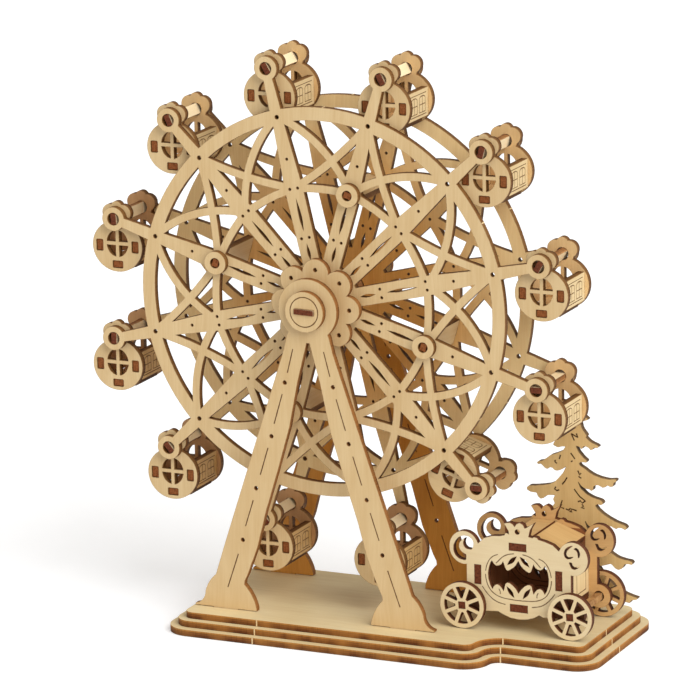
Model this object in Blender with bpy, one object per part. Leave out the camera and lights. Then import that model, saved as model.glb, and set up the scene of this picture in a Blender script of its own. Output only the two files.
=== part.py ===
# Wooden ferris wheel puzzle: laser-cut plywood pieces on a three-board base.
# Metres, +Z up. The origin is on the underside of the base, straight below the wheel's hub.
# The front of the toy faces -Y.

import bpy
import bmesh
from math import atan2, cos, hypot, pi, radians, sin, sqrt
from mathutils import Vector
from mathutils.geometry import delaunay_2d_cdt

MM = 0.001

# Sheet stock and fits
PLY = 3.4 * MM
SEAT_GAP = 0.3 * MM
TURN_GAP = 0.45 * MM

# Base boards, given for the top board; each lower board steps out all round
BOARD_STEP = 4.2 * MM
BOARD_LEFT = -67.6 * MM
BOARD_RIGHT = 144.5 * MM
BOARD_FRONT = -48.4 * MM
BOARD_REAR = 43.0 * MM
BOARD_RECESS_FRONT = -31.0 * MM
BOARD_RECESS_LEFT = 91.5 * MM
BOARD_LEFT_CORNER = 5.0 * MM
BOARD_RIGHT_CORNER = 4.0 * MM
BOARD_REAR_CORNER = 7.0 * MM

# A-frame legs
LEG_HALF_SPACING = 33.9 * MM
HUB_ABOVE_BOARD = 160.4 * MM
LEG_HEAD_RADIUS = 16.0 * MM
LEG_TOP_OUTER = 12.0 * MM
LEG_TOP_INNER = 1.0 * MM
LEG_TOP_DROP = 17.0 * MM
LEG_ANKLE_OUTER = 57.0 * MM
LEG_ANKLE_INNER = 37.6 * MM
LEG_ANKLE_RISE = 14.0 * MM
LEG_INNER_BOW = 2.2 * MM
FOOT_OUTER = 66.6 * MM
FOOT_INNER = 32.0 * MM
LEG_TAB_WIDTH = 14.0 * MM

# Wheel
SPOKES = 12
WHEEL_TURN = radians(-1.6)
PLATE_HALF_SPACING = 17.68 * MM
RIM_RADIUS = 96.0 * MM
RIM_WIDTH = 6.7 * MM
SPOKE_RIM_WIDTH = 5.6 * MM
SPOKE_MID_WIDTH = 10.0 * MM
SPOKE_HUB_WIDTH = 9.4 * MM
MID_RADIUS = 59.5 * MM
LATTICE_WIDTH = 4.0 * MM
OUTWARD_BOW = 5.8 * MM
INWARD_BOW = 1.9 * MM
MIDDLE_BOW = 1.2 * MM
SLIT_WIDTH = 1.5 * MM
OUTER_SLIT = (37.5 * MM, 54.0 * MM)
INNER_SLIT = (24.5 * MM, 31.0 * MM)
CENTRE_DISC_RADIUS = 22.0 * MM
PIVOT_RADIUS = 121.1 * MM
BOSS_RADIUS = 6.2 * MM
ARM_WIDTH = 4.7 * MM

# Hub stack
AXLE_RADIUS = 7.5 * MM
TENON_WIDTH = 10.6 * MM
TENON_HEIGHT = 2.7 * MM
CAP_RADIUS = 10.4 * MM
ROSETTE_LOBES = 8
ROSETTE_LOBE_CENTRE = 17.2 * MM
ROSETTE_LOBE_RADIUS = 7.1 * MM
ROSETTE_BACKING_RADIUS = 14.0 * MM

# Cross ties between the two wheel plates
TIE_SPOKES = (0, 3, 6, 9)
TIE_DOWEL_RADIUS = 2.4 * MM
TIE_BOARD_WIDTH = 13.0 * MM
TIE_CAP_RADIUS = 6.0 * MM

# Gondolas
ROD_WIDTH = 2.9 * MM
ROD_HEIGHT = 4.9 * MM
GONDOLA_SIDE_GAP = 0.5 * MM
CABIN_DROP = 14.9 * MM
CABIN_HALF_WIDTH = 14.1 * MM
CABIN_HALF_HEIGHT = 13.4 * MM
HEAD_LOBES = 5
HEAD_LOBE_CENTRE = 5.0 * MM
HEAD_LOBE_RADIUS = 3.7 * MM
WINDOW_RADIUS = 6.4 * MM
WINDOW_DROP = 13.4 * MM
WINDOW_BAR = 1.8 * MM
TUB_HALF_WIDTH = 11.6 * MM
TUB_TOP_DROP = 8.2 * MM
TUB_FLOOR_DROP = 26.0 * MM
TILTED_GONDOLA = 5
GONDOLA_TILT = radians(108.0)

# Coach
COACH_X = 105.7 * MM
COACH_PATH_GAP = 0.4 * MM
COACH_HALF_WHEELBASE = 29.1 * MM
COACH_WHEEL_RADIUS = 11.9 * MM
COACH_WHEEL_RIM = 2.4 * MM
COACH_WHEEL_HUB = 3.7 * MM
COACH_WHEEL_SPOKE = 2.0 * MM
COACH_WHEEL_WINDOWS = 8
COACH_WHEEL_GAP = 0.8 * MM
COACH_AXLE = 3.4 * MM
COACH_EYE_RADIUS = 6.2 * MM
COACH_HALF_BODY = 28.6 * MM
COACH_SKIRT = 9.4 * MM
COACH_BELLY = 7.0 * MM
COACH_WAIST = 34.0 * MM
COACH_TOP = 49.8 * MM
COACH_CROWN_TOP = 57.6 * MM
COACH_SCROLL_X = 29.2 * MM
COACH_SCROLL_Z = 41.5 * MM
COACH_SCROLL_RADIUS = 8.6 * MM
COACH_WINDOW_Z = 28.8 * MM
COACH_WINDOW_HALF_WIDTH = 16.0 * MM
COACH_WINDOW_HALF_HEIGHT = 9.6 * MM
COACH_ROOF_EDGE_X = 21.4 * MM
COACH_ROOF_EDGE_Z = 41.6 * MM
COACH_ROOF_BEND_X = 5.0 * MM
COACH_ROOF_END_X = -6.5 * MM
COACH_ROOF_TOP_Z = 47.6 * MM
COACH_ROOF_BOW = 1.5 * MM
COACH_WALL_X = 21.9 * MM
COACH_WALL_TOP = 35.5 * MM
COACH_FLOOR_Z = 12.4 * MM

# Pine tree
TREE_X = 115.6 * MM
TREE_FRONT = 27.5 * MM
TREE_TAB_WIDTH = 6.0 * MM
TREE_HEIGHT = 112.7 * MM

# Values that follow from those above
BOARD_TOP = 3 * PLY
HUB_Z = BOARD_TOP + HUB_ABOVE_BOARD
ROD_CORNER = hypot(ROD_WIDTH, ROD_HEIGHT) / 2
ROD_HOLE_RADIUS = (ROD_CORNER + SEAT_GAP) / cos(pi / 8)
AXLE_HOLE_RADIUS = (AXLE_RADIUS + TURN_GAP) / cos(pi / 16)
PLATE_OUTER = PLATE_HALF_SPACING + PLY / 2
PLATE_INNER = PLATE_HALF_SPACING - PLY / 2
LEG_OUTER = LEG_HALF_SPACING + PLY / 2
LEG_INNER = LEG_HALF_SPACING - PLY / 2
GONDOLA_OUTER = PLATE_INNER - GONDOLA_SIDE_GAP
COACH_PLATE_INNER = GONDOLA_OUTER + COACH_PATH_GAP
COACH_PLATE_OUTER = COACH_PLATE_INNER + PLY
COACH_WHEEL_INNER = COACH_PLATE_OUTER + COACH_WHEEL_GAP
COACH_AXLE_Z = COACH_WHEEL_RADIUS + SEAT_GAP
COACH_AXLE_HOLE = (COACH_AXLE * sqrt(2) / 2 + SEAT_GAP) / cos(pi / 8)
SPOKE_STEP = 2 * pi / SPOKES

MERGE = 1e-7


# Outlines, as lists of (x, z) points

def circle(x, z, radius, count, start=0.0):
    return [(x + radius * cos(start + 2 * pi * i / count), z + radius * sin(start + 2 * pi * i / count))
            for i in range(count)]


def oval(x, z, half_width, half_height, count):
    return [(x + half_width * cos(2 * pi * i / count), z + half_height * sin(2 * pi * i / count))
            for i in range(count)]


def arc(x, z, radius, first, last, steps):
    return [(x + radius * cos(first + (last - first) * i / steps),
             z + radius * sin(first + (last - first) * i / steps)) for i in range(steps + 1)]


def box(left, right, low, high):
    return [(left, low), (right, low), (right, high), (left, high)]


def polar(radius, angle):
    return (radius * cos(angle), radius * sin(angle))


def turned(points, angle):
    return [(x * cos(angle) - z * sin(angle), x * sin(angle) + z * cos(angle)) for x, z in points]


def mirrored(points):
    return [(-x, z) for x, z in reversed(points)]


def bow(start, end, rise, steps):
    # Points on a circular arc from start to end, raised to the left of the chord by rise
    chord = hypot(end[0] - start[0], end[1] - start[1])
    along = ((end[0] - start[0]) / chord, (end[1] - start[1]) / chord)
    height = abs(rise)
    side = rise / height
    left = (-along[1] * side, along[0] * side)
    radius = (chord * chord / 4 + height * height) / (2 * height)
    half = atan2(chord / 2, radius - height)
    points = []
    for i in range(steps + 1):
        angle = -half + 2 * half * i / steps
        run = chord / 2 + radius * sin(angle)
        up = radius * cos(angle) - (radius - height)
        points.append((start[0] + along[0] * run + left[0] * up, start[1] + along[1] * run + left[1] * up))
    return points


def strip(points, width):
    # A strip of even width whose middle line passes through the points
    sides = ([], [])
    for i, (x, z) in enumerate(points):
        before = points[max(i - 1, 0)]
        after = points[min(i + 1, len(points) - 1)]
        length = hypot(after[0] - before[0], after[1] - before[1])
        nx = -(after[1] - before[1]) / length * width / 2
        nz = (after[0] - before[0]) / length * width / 2
        sides[0].append((x - nx, z - nz))
        sides[1].append((x + nx, z + nz))
    return sides[0] + sides[1][::-1]


def radial_bar(inner, outer, inner_width, outer_width, angle):
    shape = [(inner, -inner_width / 2), (outer, -outer_width / 2), (outer, outer_width / 2), (inner, inner_width / 2)]
    return turned(shape, angle)


def diamond(inner, outer, width, angle):
    middle = (inner + outer) / 2
    return turned([(inner, 0.0), (middle, -width / 2), (outer, 0.0), (middle, width / 2)], angle)


# Plywood pieces: flat outlines given depth, one layer behind another

def wood_on(outlines):
    return [(True, outline) for outline in outlines]


def wood_off(outlines):
    return [(False, outline) for outline in outlines]


def anticlockwise(points):
    area = sum(a[0] * b[1] - b[0] * a[1] for a, b in zip(points, points[1:] + points[:1]))
    return points if area > 0 else points[::-1]


def triangulated(outlines):
    # Triangles that respect every outline, each with the outlines that cover it
    points = []
    loops = []
    for outline in outlines:
        first = len(points)
        points += [Vector(p) for p in anticlockwise(list(outline))]
        loops.append(list(range(first, len(points))))
    verts, _, faces, _, _, origins = delaunay_2d_cdt(points, [], loops, 1, MERGE, True)
    return verts, [tuple(face) for face in faces], [set(origin) for origin in origins]


def open_edges(faces):
    # Edges with the faces on their left side only
    edges = set()
    for face in faces:
        edges.update(zip(face, face[1:] + face[:1]))
    return sorted((a, b) for a, b in edges if (b, a) not in edges)


def is_corner(before, here, after):
    first = (here - before).normalized()
    second = (after - here).normalized()
    return abs(first.x * second.y - first.y * second.x) > 0.002


def joined(painted):
    # Outlines painted one over the other, turned into the edges of what is left: outer ones and holes
    verts, faces, marks = triangulated([outline for _, outline in painted])
    kept = [face for face, mark in zip(faces, marks) if mark and painted[max(mark)][0]]
    following = dict(open_edges(kept))
    outer = []
    holes = []
    while following:
        start, here = following.popitem()
        loop = [start]
        while here != start:
            loop.append(here)
            here = following.pop(here)
        corners = [verts[i] for i in loop]
        count = len(corners)
        corners = [corners[i] for i in range(count)
                   if is_corner(corners[i - 1], corners[i], corners[(i + 1) % count])]
        points = [(corner.x, corner.y) for corner in corners]
        if anticlockwise(points) is points:
            outer.append(points)
        else:
            holes.append(points)
    return outer, holes


def ply_mesh(name, layers):
    # Each layer is (front, back, painted outlines); together they are one closed body
    outlines = []
    owners = []
    for index, (_, _, painted) in enumerate(layers):
        for is_hole, loops in enumerate(joined(painted)):
            outlines += loops
            owners += [(index, is_hole)] * len(loops)
    flat, faces, marks = triangulated(outlines)
    covers = []
    for mark in marks:
        found = {owners[i] for i in mark}
        covers.append({i for i, is_hole in found if not is_hole and (i, 1) not in found})
    bm = bmesh.new()
    made = {}

    def vertex(index, depth):
        key = (index, round(depth / MERGE))
        if key not in made:
            made[key] = bm.verts.new((flat[index].x, depth, flat[index].y))
        return made[key]

    for index, (front, back, _) in enumerate(layers):
        own = [(face, cover) for face, cover in zip(faces, covers) if index in cover]
        for face, cover in own:
            if index - 1 not in cover:
                bm.faces.new([vertex(i, front) for i in face])
            if index + 1 not in cover:
                bm.faces.new([vertex(i, back) for i in reversed(face)])
        for a, b in open_edges([face for face, _ in own]):
            bm.faces.new([vertex(a, front), vertex(a, back), vertex(b, back), vertex(b, front)])
    bmesh.ops.dissolve_limit(bm, angle_limit=radians(0.2), verts=bm.verts, edges=bm.edges)
    mesh = bpy.data.meshes.new(name)
    bm.to_mesh(mesh)
    bm.free()
    mesh.shade_smooth()
    mesh.set_sharp_from_angle(angle=radians(35))
    return mesh


# Scene

def clear_scene():
    for existing in list(bpy.data.objects):
        bpy.data.objects.remove(existing, do_unlink=True)


def wood(name, tone):
    material = bpy.data.materials.new(name)
    material.use_nodes = True
    shader = material.node_tree.nodes["Principled BSDF"]
    shader.inputs["Base Color"].default_value = (0.74 * tone, 0.56 * tone, 0.33 * tone, 1.0)
    shader.inputs["Roughness"].default_value = 0.7
    shader.inputs["Metallic"].default_value = 0.0
    return material


def empty(name, location, rotation=(0.0, 0.0, 0.0), parent=None):
    marker = bpy.data.objects.new(name, None)
    marker.empty_display_size = 10 * MM
    marker.location = location
    marker.rotation_euler = rotation
    marker.parent = parent
    bpy.context.scene.collection.objects.link(marker)
    return marker


def piece(name, mesh, parent, location=(0.0, 0.0, 0.0), rotation=(0.0, 0.0, 0.0), tone=1.0):
    item = bpy.data.objects.new(name, mesh)
    item.location = location
    item.rotation_euler = rotation
    item.parent = parent
    bpy.context.scene.collection.objects.link(item)
    if not mesh.materials:
        mesh.materials.append(None)
    item.material_slots[0].link = "OBJECT"
    item.material_slots[0].material = wood(name + "_wood", tone)
    return item


# Base

def board_outline(grow):
    left = BOARD_LEFT + BOARD_LEFT_CORNER
    right = BOARD_RIGHT - BOARD_RIGHT_CORNER
    front = BOARD_FRONT + BOARD_LEFT_CORNER
    recess_front = BOARD_RECESS_FRONT + BOARD_RIGHT_CORNER
    rear_x = BOARD_RIGHT - BOARD_REAR_CORNER
    rear_y = BOARD_REAR - BOARD_REAR_CORNER
    step_x = BOARD_RECESS_LEFT
    convex = BOARD_LEFT_CORNER
    concave = BOARD_LEFT_CORNER + 2 * BOARD_STEP
    points = arc(left, front, convex + grow, pi, 1.5 * pi, 4)
    points += arc(step_x - convex, front, convex + grow, 1.5 * pi, 2 * pi, 4)
    points += arc(step_x + concave, BOARD_RECESS_FRONT - concave, concave - grow, pi, 0.5 * pi, 4)
    points += arc(right, recess_front, BOARD_RIGHT_CORNER + grow, 1.5 * pi, 2 * pi, 3)
    points += arc(rear_x, rear_y, BOARD_REAR_CORNER + grow, 0.0, 0.5 * pi, 4)
    points += arc(left, BOARD_REAR - convex, convex + grow, 0.5 * pi, pi, 3)
    return points


def make_base(stand):
    slots = []
    for y in (-LEG_HALF_SPACING, LEG_HALF_SPACING):
        for x in (-(FOOT_OUTER + FOOT_INNER) / 2, (FOOT_OUTER + FOOT_INNER) / 2):
            slots.append(box(x - LEG_TAB_WIDTH / 2 - SEAT_GAP, x + LEG_TAB_WIDTH / 2 + SEAT_GAP,
                             y - PLY / 2 - SEAT_GAP, y + PLY / 2 + SEAT_GAP))
    slots.append(box(TREE_X - TREE_TAB_WIDTH / 2 - SEAT_GAP, TREE_X + TREE_TAB_WIDTH / 2 + SEAT_GAP,
                     TREE_FRONT - SEAT_GAP, TREE_FRONT + PLY + SEAT_GAP))
    flat = (-pi / 2, 0.0, 0.0)
    for level, name in enumerate(("base_board_bottom", "base_board_middle", "base_board_top")):
        painted = wood_on([board_outline(BOARD_STEP * (2 - level))])
        if name == "base_board_top":
            painted += wood_off(slots)
        top = (level + 1) * PLY
        low = level * PLY + (SEAT_GAP if level else 0.0)
        piece(name, ply_mesh(name, [(-top, -low, painted)]), stand, rotation=flat)


# Legs

def leg_outline():
    # The right leg; x is measured from the hub's middle line and z from the hub
    floor = -HUB_ABOVE_BOARD + SEAT_GAP
    ankle = -HUB_ABOVE_BOARD + LEG_ANKLE_RISE
    outer = [(LEG_TOP_OUTER, -LEG_TOP_DROP + LEG_HEAD_RADIUS / 2), (LEG_ANKLE_OUTER, ankle)]
    flare = bow((LEG_ANKLE_OUTER, ankle), (FOOT_OUTER, floor + 2 * MM), -1.6 * MM, 3)[1:]
    sole = [(FOOT_OUTER, floor), (FOOT_INNER, floor), (FOOT_INNER, floor + 2 * MM)]
    heel = bow((FOOT_INNER, floor + 2 * MM), (LEG_ANKLE_INNER + 1 * MM, ankle - 1 * MM), 1.2 * MM, 3)[1:]
    inner = bow((LEG_ANKLE_INNER, ankle + 4 * MM), (LEG_TOP_INNER, -LEG_TOP_DROP), LEG_INNER_BOW, 4)
    crown = [(0.0, -LEG_TOP_DROP), (0.0, 0.0)]
    return outer + flare + sole + heel + inner + crown


def make_legs(stand):
    right = leg_outline()
    middle = (FOOT_OUTER + FOOT_INNER) / 2
    tab_low = -HUB_ABOVE_BOARD - PLY + 2 * SEAT_GAP
    tab_high = -HUB_ABOVE_BOARD + 4 * MM
    tab = box(middle - LEG_TAB_WIDTH / 2, middle + LEG_TAB_WIDTH / 2, tab_low, tab_high)
    head = circle(0.0, 0.0, LEG_HEAD_RADIUS, 24)
    solids = [right, mirrored(right), tab, mirrored(tab), head]
    hole = circle(0.0, 0.0, AXLE_HOLE_RADIUS, 16)
    mesh = ply_mesh("leg_frame", [(-PLY / 2, PLY / 2, wood_on(solids) + wood_off([hole]))])
    piece("front_leg_frame", mesh, stand, (0.0, -LEG_HALF_SPACING, HUB_Z))
    piece("rear_leg_frame", mesh, stand, (0.0, LEG_HALF_SPACING, HUB_Z), tone=0.96)


# Wheel

def spoke_angle(index):
    return radians(75) - index * SPOKE_STEP


def wheel_plate_paint():
    rim_steps = SPOKES * 3
    bars = [circle(0.0, 0.0, CENTRE_DISC_RADIUS, 24)]
    cuts = [circle(0.0, 0.0, AXLE_HOLE_RADIUS, 16)]
    for index in range(SPOKES):
        angle = spoke_angle(index)
        rim = polar(RIM_RADIUS, angle)
        middle = polar(MID_RADIUS, angle)
        bars.append(radial_bar(MID_RADIUS - 1 * MM, RIM_RADIUS, SPOKE_MID_WIDTH, SPOKE_RIM_WIDTH, angle))
        bars.append(radial_bar(CENTRE_DISC_RADIUS - 3 * MM, MID_RADIUS, SPOKE_HUB_WIDTH, SPOKE_MID_WIDTH, angle))
        for side in (-1, 1):
            beside = polar(MID_RADIUS, angle + side * SPOKE_STEP)
            rise = -side * OUTWARD_BOW if index % 2 else side * INWARD_BOW
            bars.append(strip(bow(rim, beside, rise, 3 if index % 2 else 2), LATTICE_WIDTH))
        beside = polar(MID_RADIUS, angle + SPOKE_STEP)
        bars.append(strip(bow(middle, beside, -MIDDLE_BOW, 2), LATTICE_WIDTH))
        cuts.append(diamond(OUTER_SLIT[0], OUTER_SLIT[1], SLIT_WIDTH, angle))
        cuts.append(diamond(INNER_SLIT[0], INNER_SLIT[1], SLIT_WIDTH, angle))
        if index in TIE_SPOKES:
            bars.append(circle(*middle, TIE_CAP_RADIUS, 12))
            cuts.append(circle(*middle, TIE_DOWEL_RADIUS + SEAT_GAP * 1.2, 10))
        pivot = polar(PIVOT_RADIUS, angle)
        bars.append(radial_bar(RIM_RADIUS, PIVOT_RADIUS, ARM_WIDTH, ARM_WIDTH, angle))
        bars.append(circle(*pivot, BOSS_RADIUS, 10, angle + pi))
        cuts.append(circle(*pivot, ROD_HOLE_RADIUS, 8, angle))
    painted = wood_on([circle(0.0, 0.0, RIM_RADIUS + RIM_WIDTH / 2, rim_steps)])
    painted += wood_off([circle(0.0, 0.0, RIM_RADIUS - RIM_WIDTH / 2, rim_steps)])
    return painted + wood_on(bars) + wood_off(cuts)


def make_wheel():
    hub = empty("wheel_hub", (0.0, 0.0, HUB_Z), (0.0, -WHEEL_TURN, 0.0))
    mesh = ply_mesh("wheel_plate", [(-PLY / 2, PLY / 2, wheel_plate_paint())])
    piece("front_wheel_plate", mesh, hub, (0.0, -PLATE_HALF_SPACING, 0.0))
    piece("rear_wheel_plate", mesh, hub, (0.0, PLATE_HALF_SPACING, 0.0), tone=0.96)

    lobes = []
    for i in range(ROSETTE_LOBES):
        lobes.append(circle(*polar(ROSETTE_LOBE_CENTRE, pi / 2 + 2 * pi * i / ROSETTE_LOBES),
                            ROSETTE_LOBE_RADIUS, 11, pi / 2 + 2 * pi * i / ROSETTE_LOBES))
    hole = wood_off([circle(0.0, 0.0, AXLE_HOLE_RADIUS, 16)])
    core = circle(0.0, 0.0, ROSETTE_LOBE_CENTRE, 24)
    backing = circle(0.0, 0.0, ROSETTE_BACKING_RADIUS, 24)
    layers = [(-2 * PLY, -PLY, wood_on(lobes + [core]) + hole), (-PLY, 0.0, wood_on([backing]) + hole)]
    mesh = ply_mesh("rosette", layers)
    seat = PLATE_OUTER + SEAT_GAP
    piece("front_rosette", mesh, hub, (0.0, -seat, 0.0))
    piece("rear_rosette", mesh, hub, (0.0, seat, 0.0), (0.0, 0.0, pi), tone=0.96)

    shaft_end = LEG_OUTER + SEAT_GAP
    tenon_end = shaft_end + SEAT_GAP + PLY
    tenon = box(-TENON_WIDTH / 2, TENON_WIDTH / 2, -TENON_HEIGHT / 2, TENON_HEIGHT / 2)
    shaft = circle(0.0, 0.0, AXLE_RADIUS, 16, pi / 16)
    layers = [(-tenon_end, -shaft_end, wood_on([tenon])), (-shaft_end, shaft_end, wood_on([shaft])),
              (shaft_end, tenon_end, wood_on([tenon]))]
    piece("wheel_axle", ply_mesh("wheel_axle", layers), hub)

    slot = box(-TENON_WIDTH / 2 - SEAT_GAP, TENON_WIDTH / 2 + SEAT_GAP,
               -TENON_HEIGHT / 2 - SEAT_GAP, TENON_HEIGHT / 2 + SEAT_GAP)
    disc = circle(0.0, 0.0, CAP_RADIUS, 24)
    mesh = ply_mesh("hub_cap", [(-PLY / 2, PLY / 2, wood_on([disc]) + wood_off([slot]))])
    cap_middle = shaft_end + SEAT_GAP + PLY / 2
    piece("front_hub_cap", mesh, hub, (0.0, -cap_middle, 0.0))
    piece("rear_hub_cap", mesh, hub, (0.0, cap_middle, 0.0), tone=0.96)

    cap_in = PLATE_OUTER + SEAT_GAP
    cap_out = cap_in + PLY
    cap = circle(0.0, 0.0, TIE_CAP_RADIUS, 12)
    dowel = circle(0.0, 0.0, TIE_DOWEL_RADIUS, 8)
    board = box(-PLY / 2, PLY / 2, -TIE_BOARD_WIDTH / 2, TIE_BOARD_WIDTH / 2)
    board_end = PLATE_INNER - SEAT_GAP
    layers = [(-cap_out, -cap_in, wood_on([cap])), (-cap_in, -board_end, wood_on([dowel])),
              (-board_end, board_end, wood_on([board])), (board_end, cap_in, wood_on([dowel])),
              (cap_in, cap_out, wood_on([cap]))]
    mesh = ply_mesh("cross_tie", layers)
    for number, index in enumerate(TIE_SPOKES, 1):
        x, z = polar(MID_RADIUS, spoke_angle(index))
        piece("cross_tie_%d" % number, mesh, hub, (x, 0.0, z), (0.0, -spoke_angle(index), 0.0))
    return hub


# Gondolas

def gondola_plate_paint():
    solids = [oval(0.0, -CABIN_DROP, CABIN_HALF_WIDTH, CABIN_HALF_HEIGHT, 18)]
    for i in range(HEAD_LOBES):
        angle = -pi / 2 + (i + 1) * 2 * pi / (HEAD_LOBES + 1)
        solids.append(circle(*polar(HEAD_LOBE_CENTRE, angle), HEAD_LOBE_RADIUS, 7, angle))
    solids.append(circle(0.0, 0.0, HEAD_LOBE_CENTRE + 1 * MM, 6))
    cuts = [circle(0.0, 0.0, ROD_HOLE_RADIUS, 8, pi / 8)]
    half = WINDOW_BAR / 2
    reach = sqrt(WINDOW_RADIUS ** 2 - half ** 2)
    slant = WINDOW_RADIUS / sqrt(2)
    for sx in (-1, 1):
        for sz in (-1, 1):
            pane = [(half, half), (reach, half), (slant, slant), (half, reach)]
            cuts.append([(sx * x, sz * z - WINDOW_DROP) for x, z in pane])
    return wood_on(solids) + wood_off(cuts)


def make_gondolas():
    painted = gondola_plate_paint()
    inner = GONDOLA_OUTER - PLY
    tub_end = -(inner - SEAT_GAP)
    low = -TUB_FLOOR_DROP
    top = -TUB_TOP_DROP
    half = TUB_HALF_WIDTH
    bevel = 4.5 * MM
    tub = [(-half, top), (-half, low + bevel), (-half + bevel, low), (half - bevel, low), (half, low + bevel),
           (half, top), (half - PLY, top), (half - PLY, low + bevel + 0.4 * PLY),
           (half - bevel - 0.4 * PLY, low + PLY), (-half + bevel + 0.4 * PLY, low + PLY),
           (-half + PLY, low + bevel + 0.4 * PLY), (-half + PLY, top)]
    front_mesh = ply_mesh("gondola_front_plate", [(-GONDOLA_OUTER, -inner, painted)])
    layers = [(tub_end, inner, wood_on([tub])), (inner, GONDOLA_OUTER, painted)]
    shell_mesh = ply_mesh("gondola_rear_shell", layers)
    rod = box(-ROD_WIDTH / 2, ROD_WIDTH / 2, -ROD_HEIGHT / 2, ROD_HEIGHT / 2)
    rod_mesh = ply_mesh("gondola_rod", [(-PLATE_OUTER, PLATE_OUTER, wood_on([rod]))])
    for number in range(1, SPOKES + 1):
        x, z = polar(PIVOT_RADIUS, spoke_angle(number - 1) + WHEEL_TURN)
        tilt = GONDOLA_TILT if number == TILTED_GONDOLA else 0.0
        pivot = empty("gondola_%02d_pivot" % number, (x, 0.0, HUB_Z + z), (0.0, tilt, 0.0))
        piece("gondola_%02d_front_plate" % number, front_mesh, pivot)
        piece("gondola_%02d_rear_shell" % number, shell_mesh, pivot, tone=0.97)
        piece("gondola_%02d_rod" % number, rod_mesh, pivot, tone=0.9)


# Coach

def crescent(x, z, radius, side):
    # A spiral's opening: a ring part that is widest on its outer side
    outer = arc(x, z, radius, 0.75 * pi, 2.1 * pi, 7)
    inner = arc(x + 0.16 * radius, z + 0.12 * radius, radius * 0.55, 2.0 * pi, 0.85 * pi, 5)
    points = outer + inner
    if side > 0:
        points = [(2 * x - px, pz) for px, pz in points]
    return points


def coach_side_paint():
    half = COACH_HALF_BODY
    top = COACH_TOP
    body = [(-half, COACH_SKIRT), (-13.0 * MM, COACH_SKIRT)]
    body += bow((-10.0 * MM, COACH_BELLY + 1.2 * MM), (10.0 * MM, COACH_BELLY + 1.2 * MM), -1.2 * MM, 4)
    body += [(13.0 * MM, COACH_SKIRT), (half, COACH_SKIRT), (half, COACH_WAIST)]
    body += bow((22.5 * MM, 43.8 * MM), (6.0 * MM, top), -1.5 * MM, 4)
    body += bow((-6.0 * MM, top), (-22.5 * MM, 43.8 * MM), -1.5 * MM, 4)
    body += [(-half, COACH_WAIST)]
    tip = COACH_CROWN_TOP
    crown = [(-4.6 * MM, top - 1 * MM), (4.6 * MM, top - 1 * MM), (7.2 * MM, tip - 0.8 * MM)]
    for x in (3.8, 0.0, -3.8):
        crown += arc(x * MM, tip - 1.8 * MM, 1.8 * MM, 0.1 * pi, 0.9 * pi, 3)
    crown += [(-7.2 * MM, tip - 0.8 * MM)]
    solids = [body, crown]
    cuts = [circle(0.0, top + 2.6 * MM, 1.4 * MM, 6),
            oval(0.0, COACH_WINDOW_Z, COACH_WINDOW_HALF_WIDTH, COACH_WINDOW_HALF_HEIGHT, 18)]
    for side in (-1, 1):
        x = side * COACH_SCROLL_X
        solids.append(circle(x, COACH_SCROLL_Z, COACH_SCROLL_RADIUS, 18))
        cuts.append(crescent(x, COACH_SCROLL_Z, COACH_SCROLL_RADIUS * 0.7, side))
        solids.append(circle(side * COACH_HALF_WHEELBASE, COACH_AXLE_Z, COACH_EYE_RADIUS, 14))
        cuts.append(circle(side * COACH_HALF_WHEELBASE, COACH_AXLE_Z, COACH_AXLE_HOLE, 8, pi / 8))
    return wood_on(solids) + wood_off(cuts)


def coach_wheel_window(angle):
    outer = COACH_WHEEL_RADIUS - COACH_WHEEL_RIM
    half = pi / COACH_WHEEL_WINDOWS
    outer_half = half - COACH_WHEEL_SPOKE / 2 / outer
    inner_half = half - COACH_WHEEL_SPOKE / 2 / COACH_WHEEL_HUB
    return [polar(COACH_WHEEL_HUB, angle - inner_half), polar(outer, angle - outer_half),
            polar(outer, angle + outer_half), polar(COACH_WHEEL_HUB, angle + inner_half)]


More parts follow.
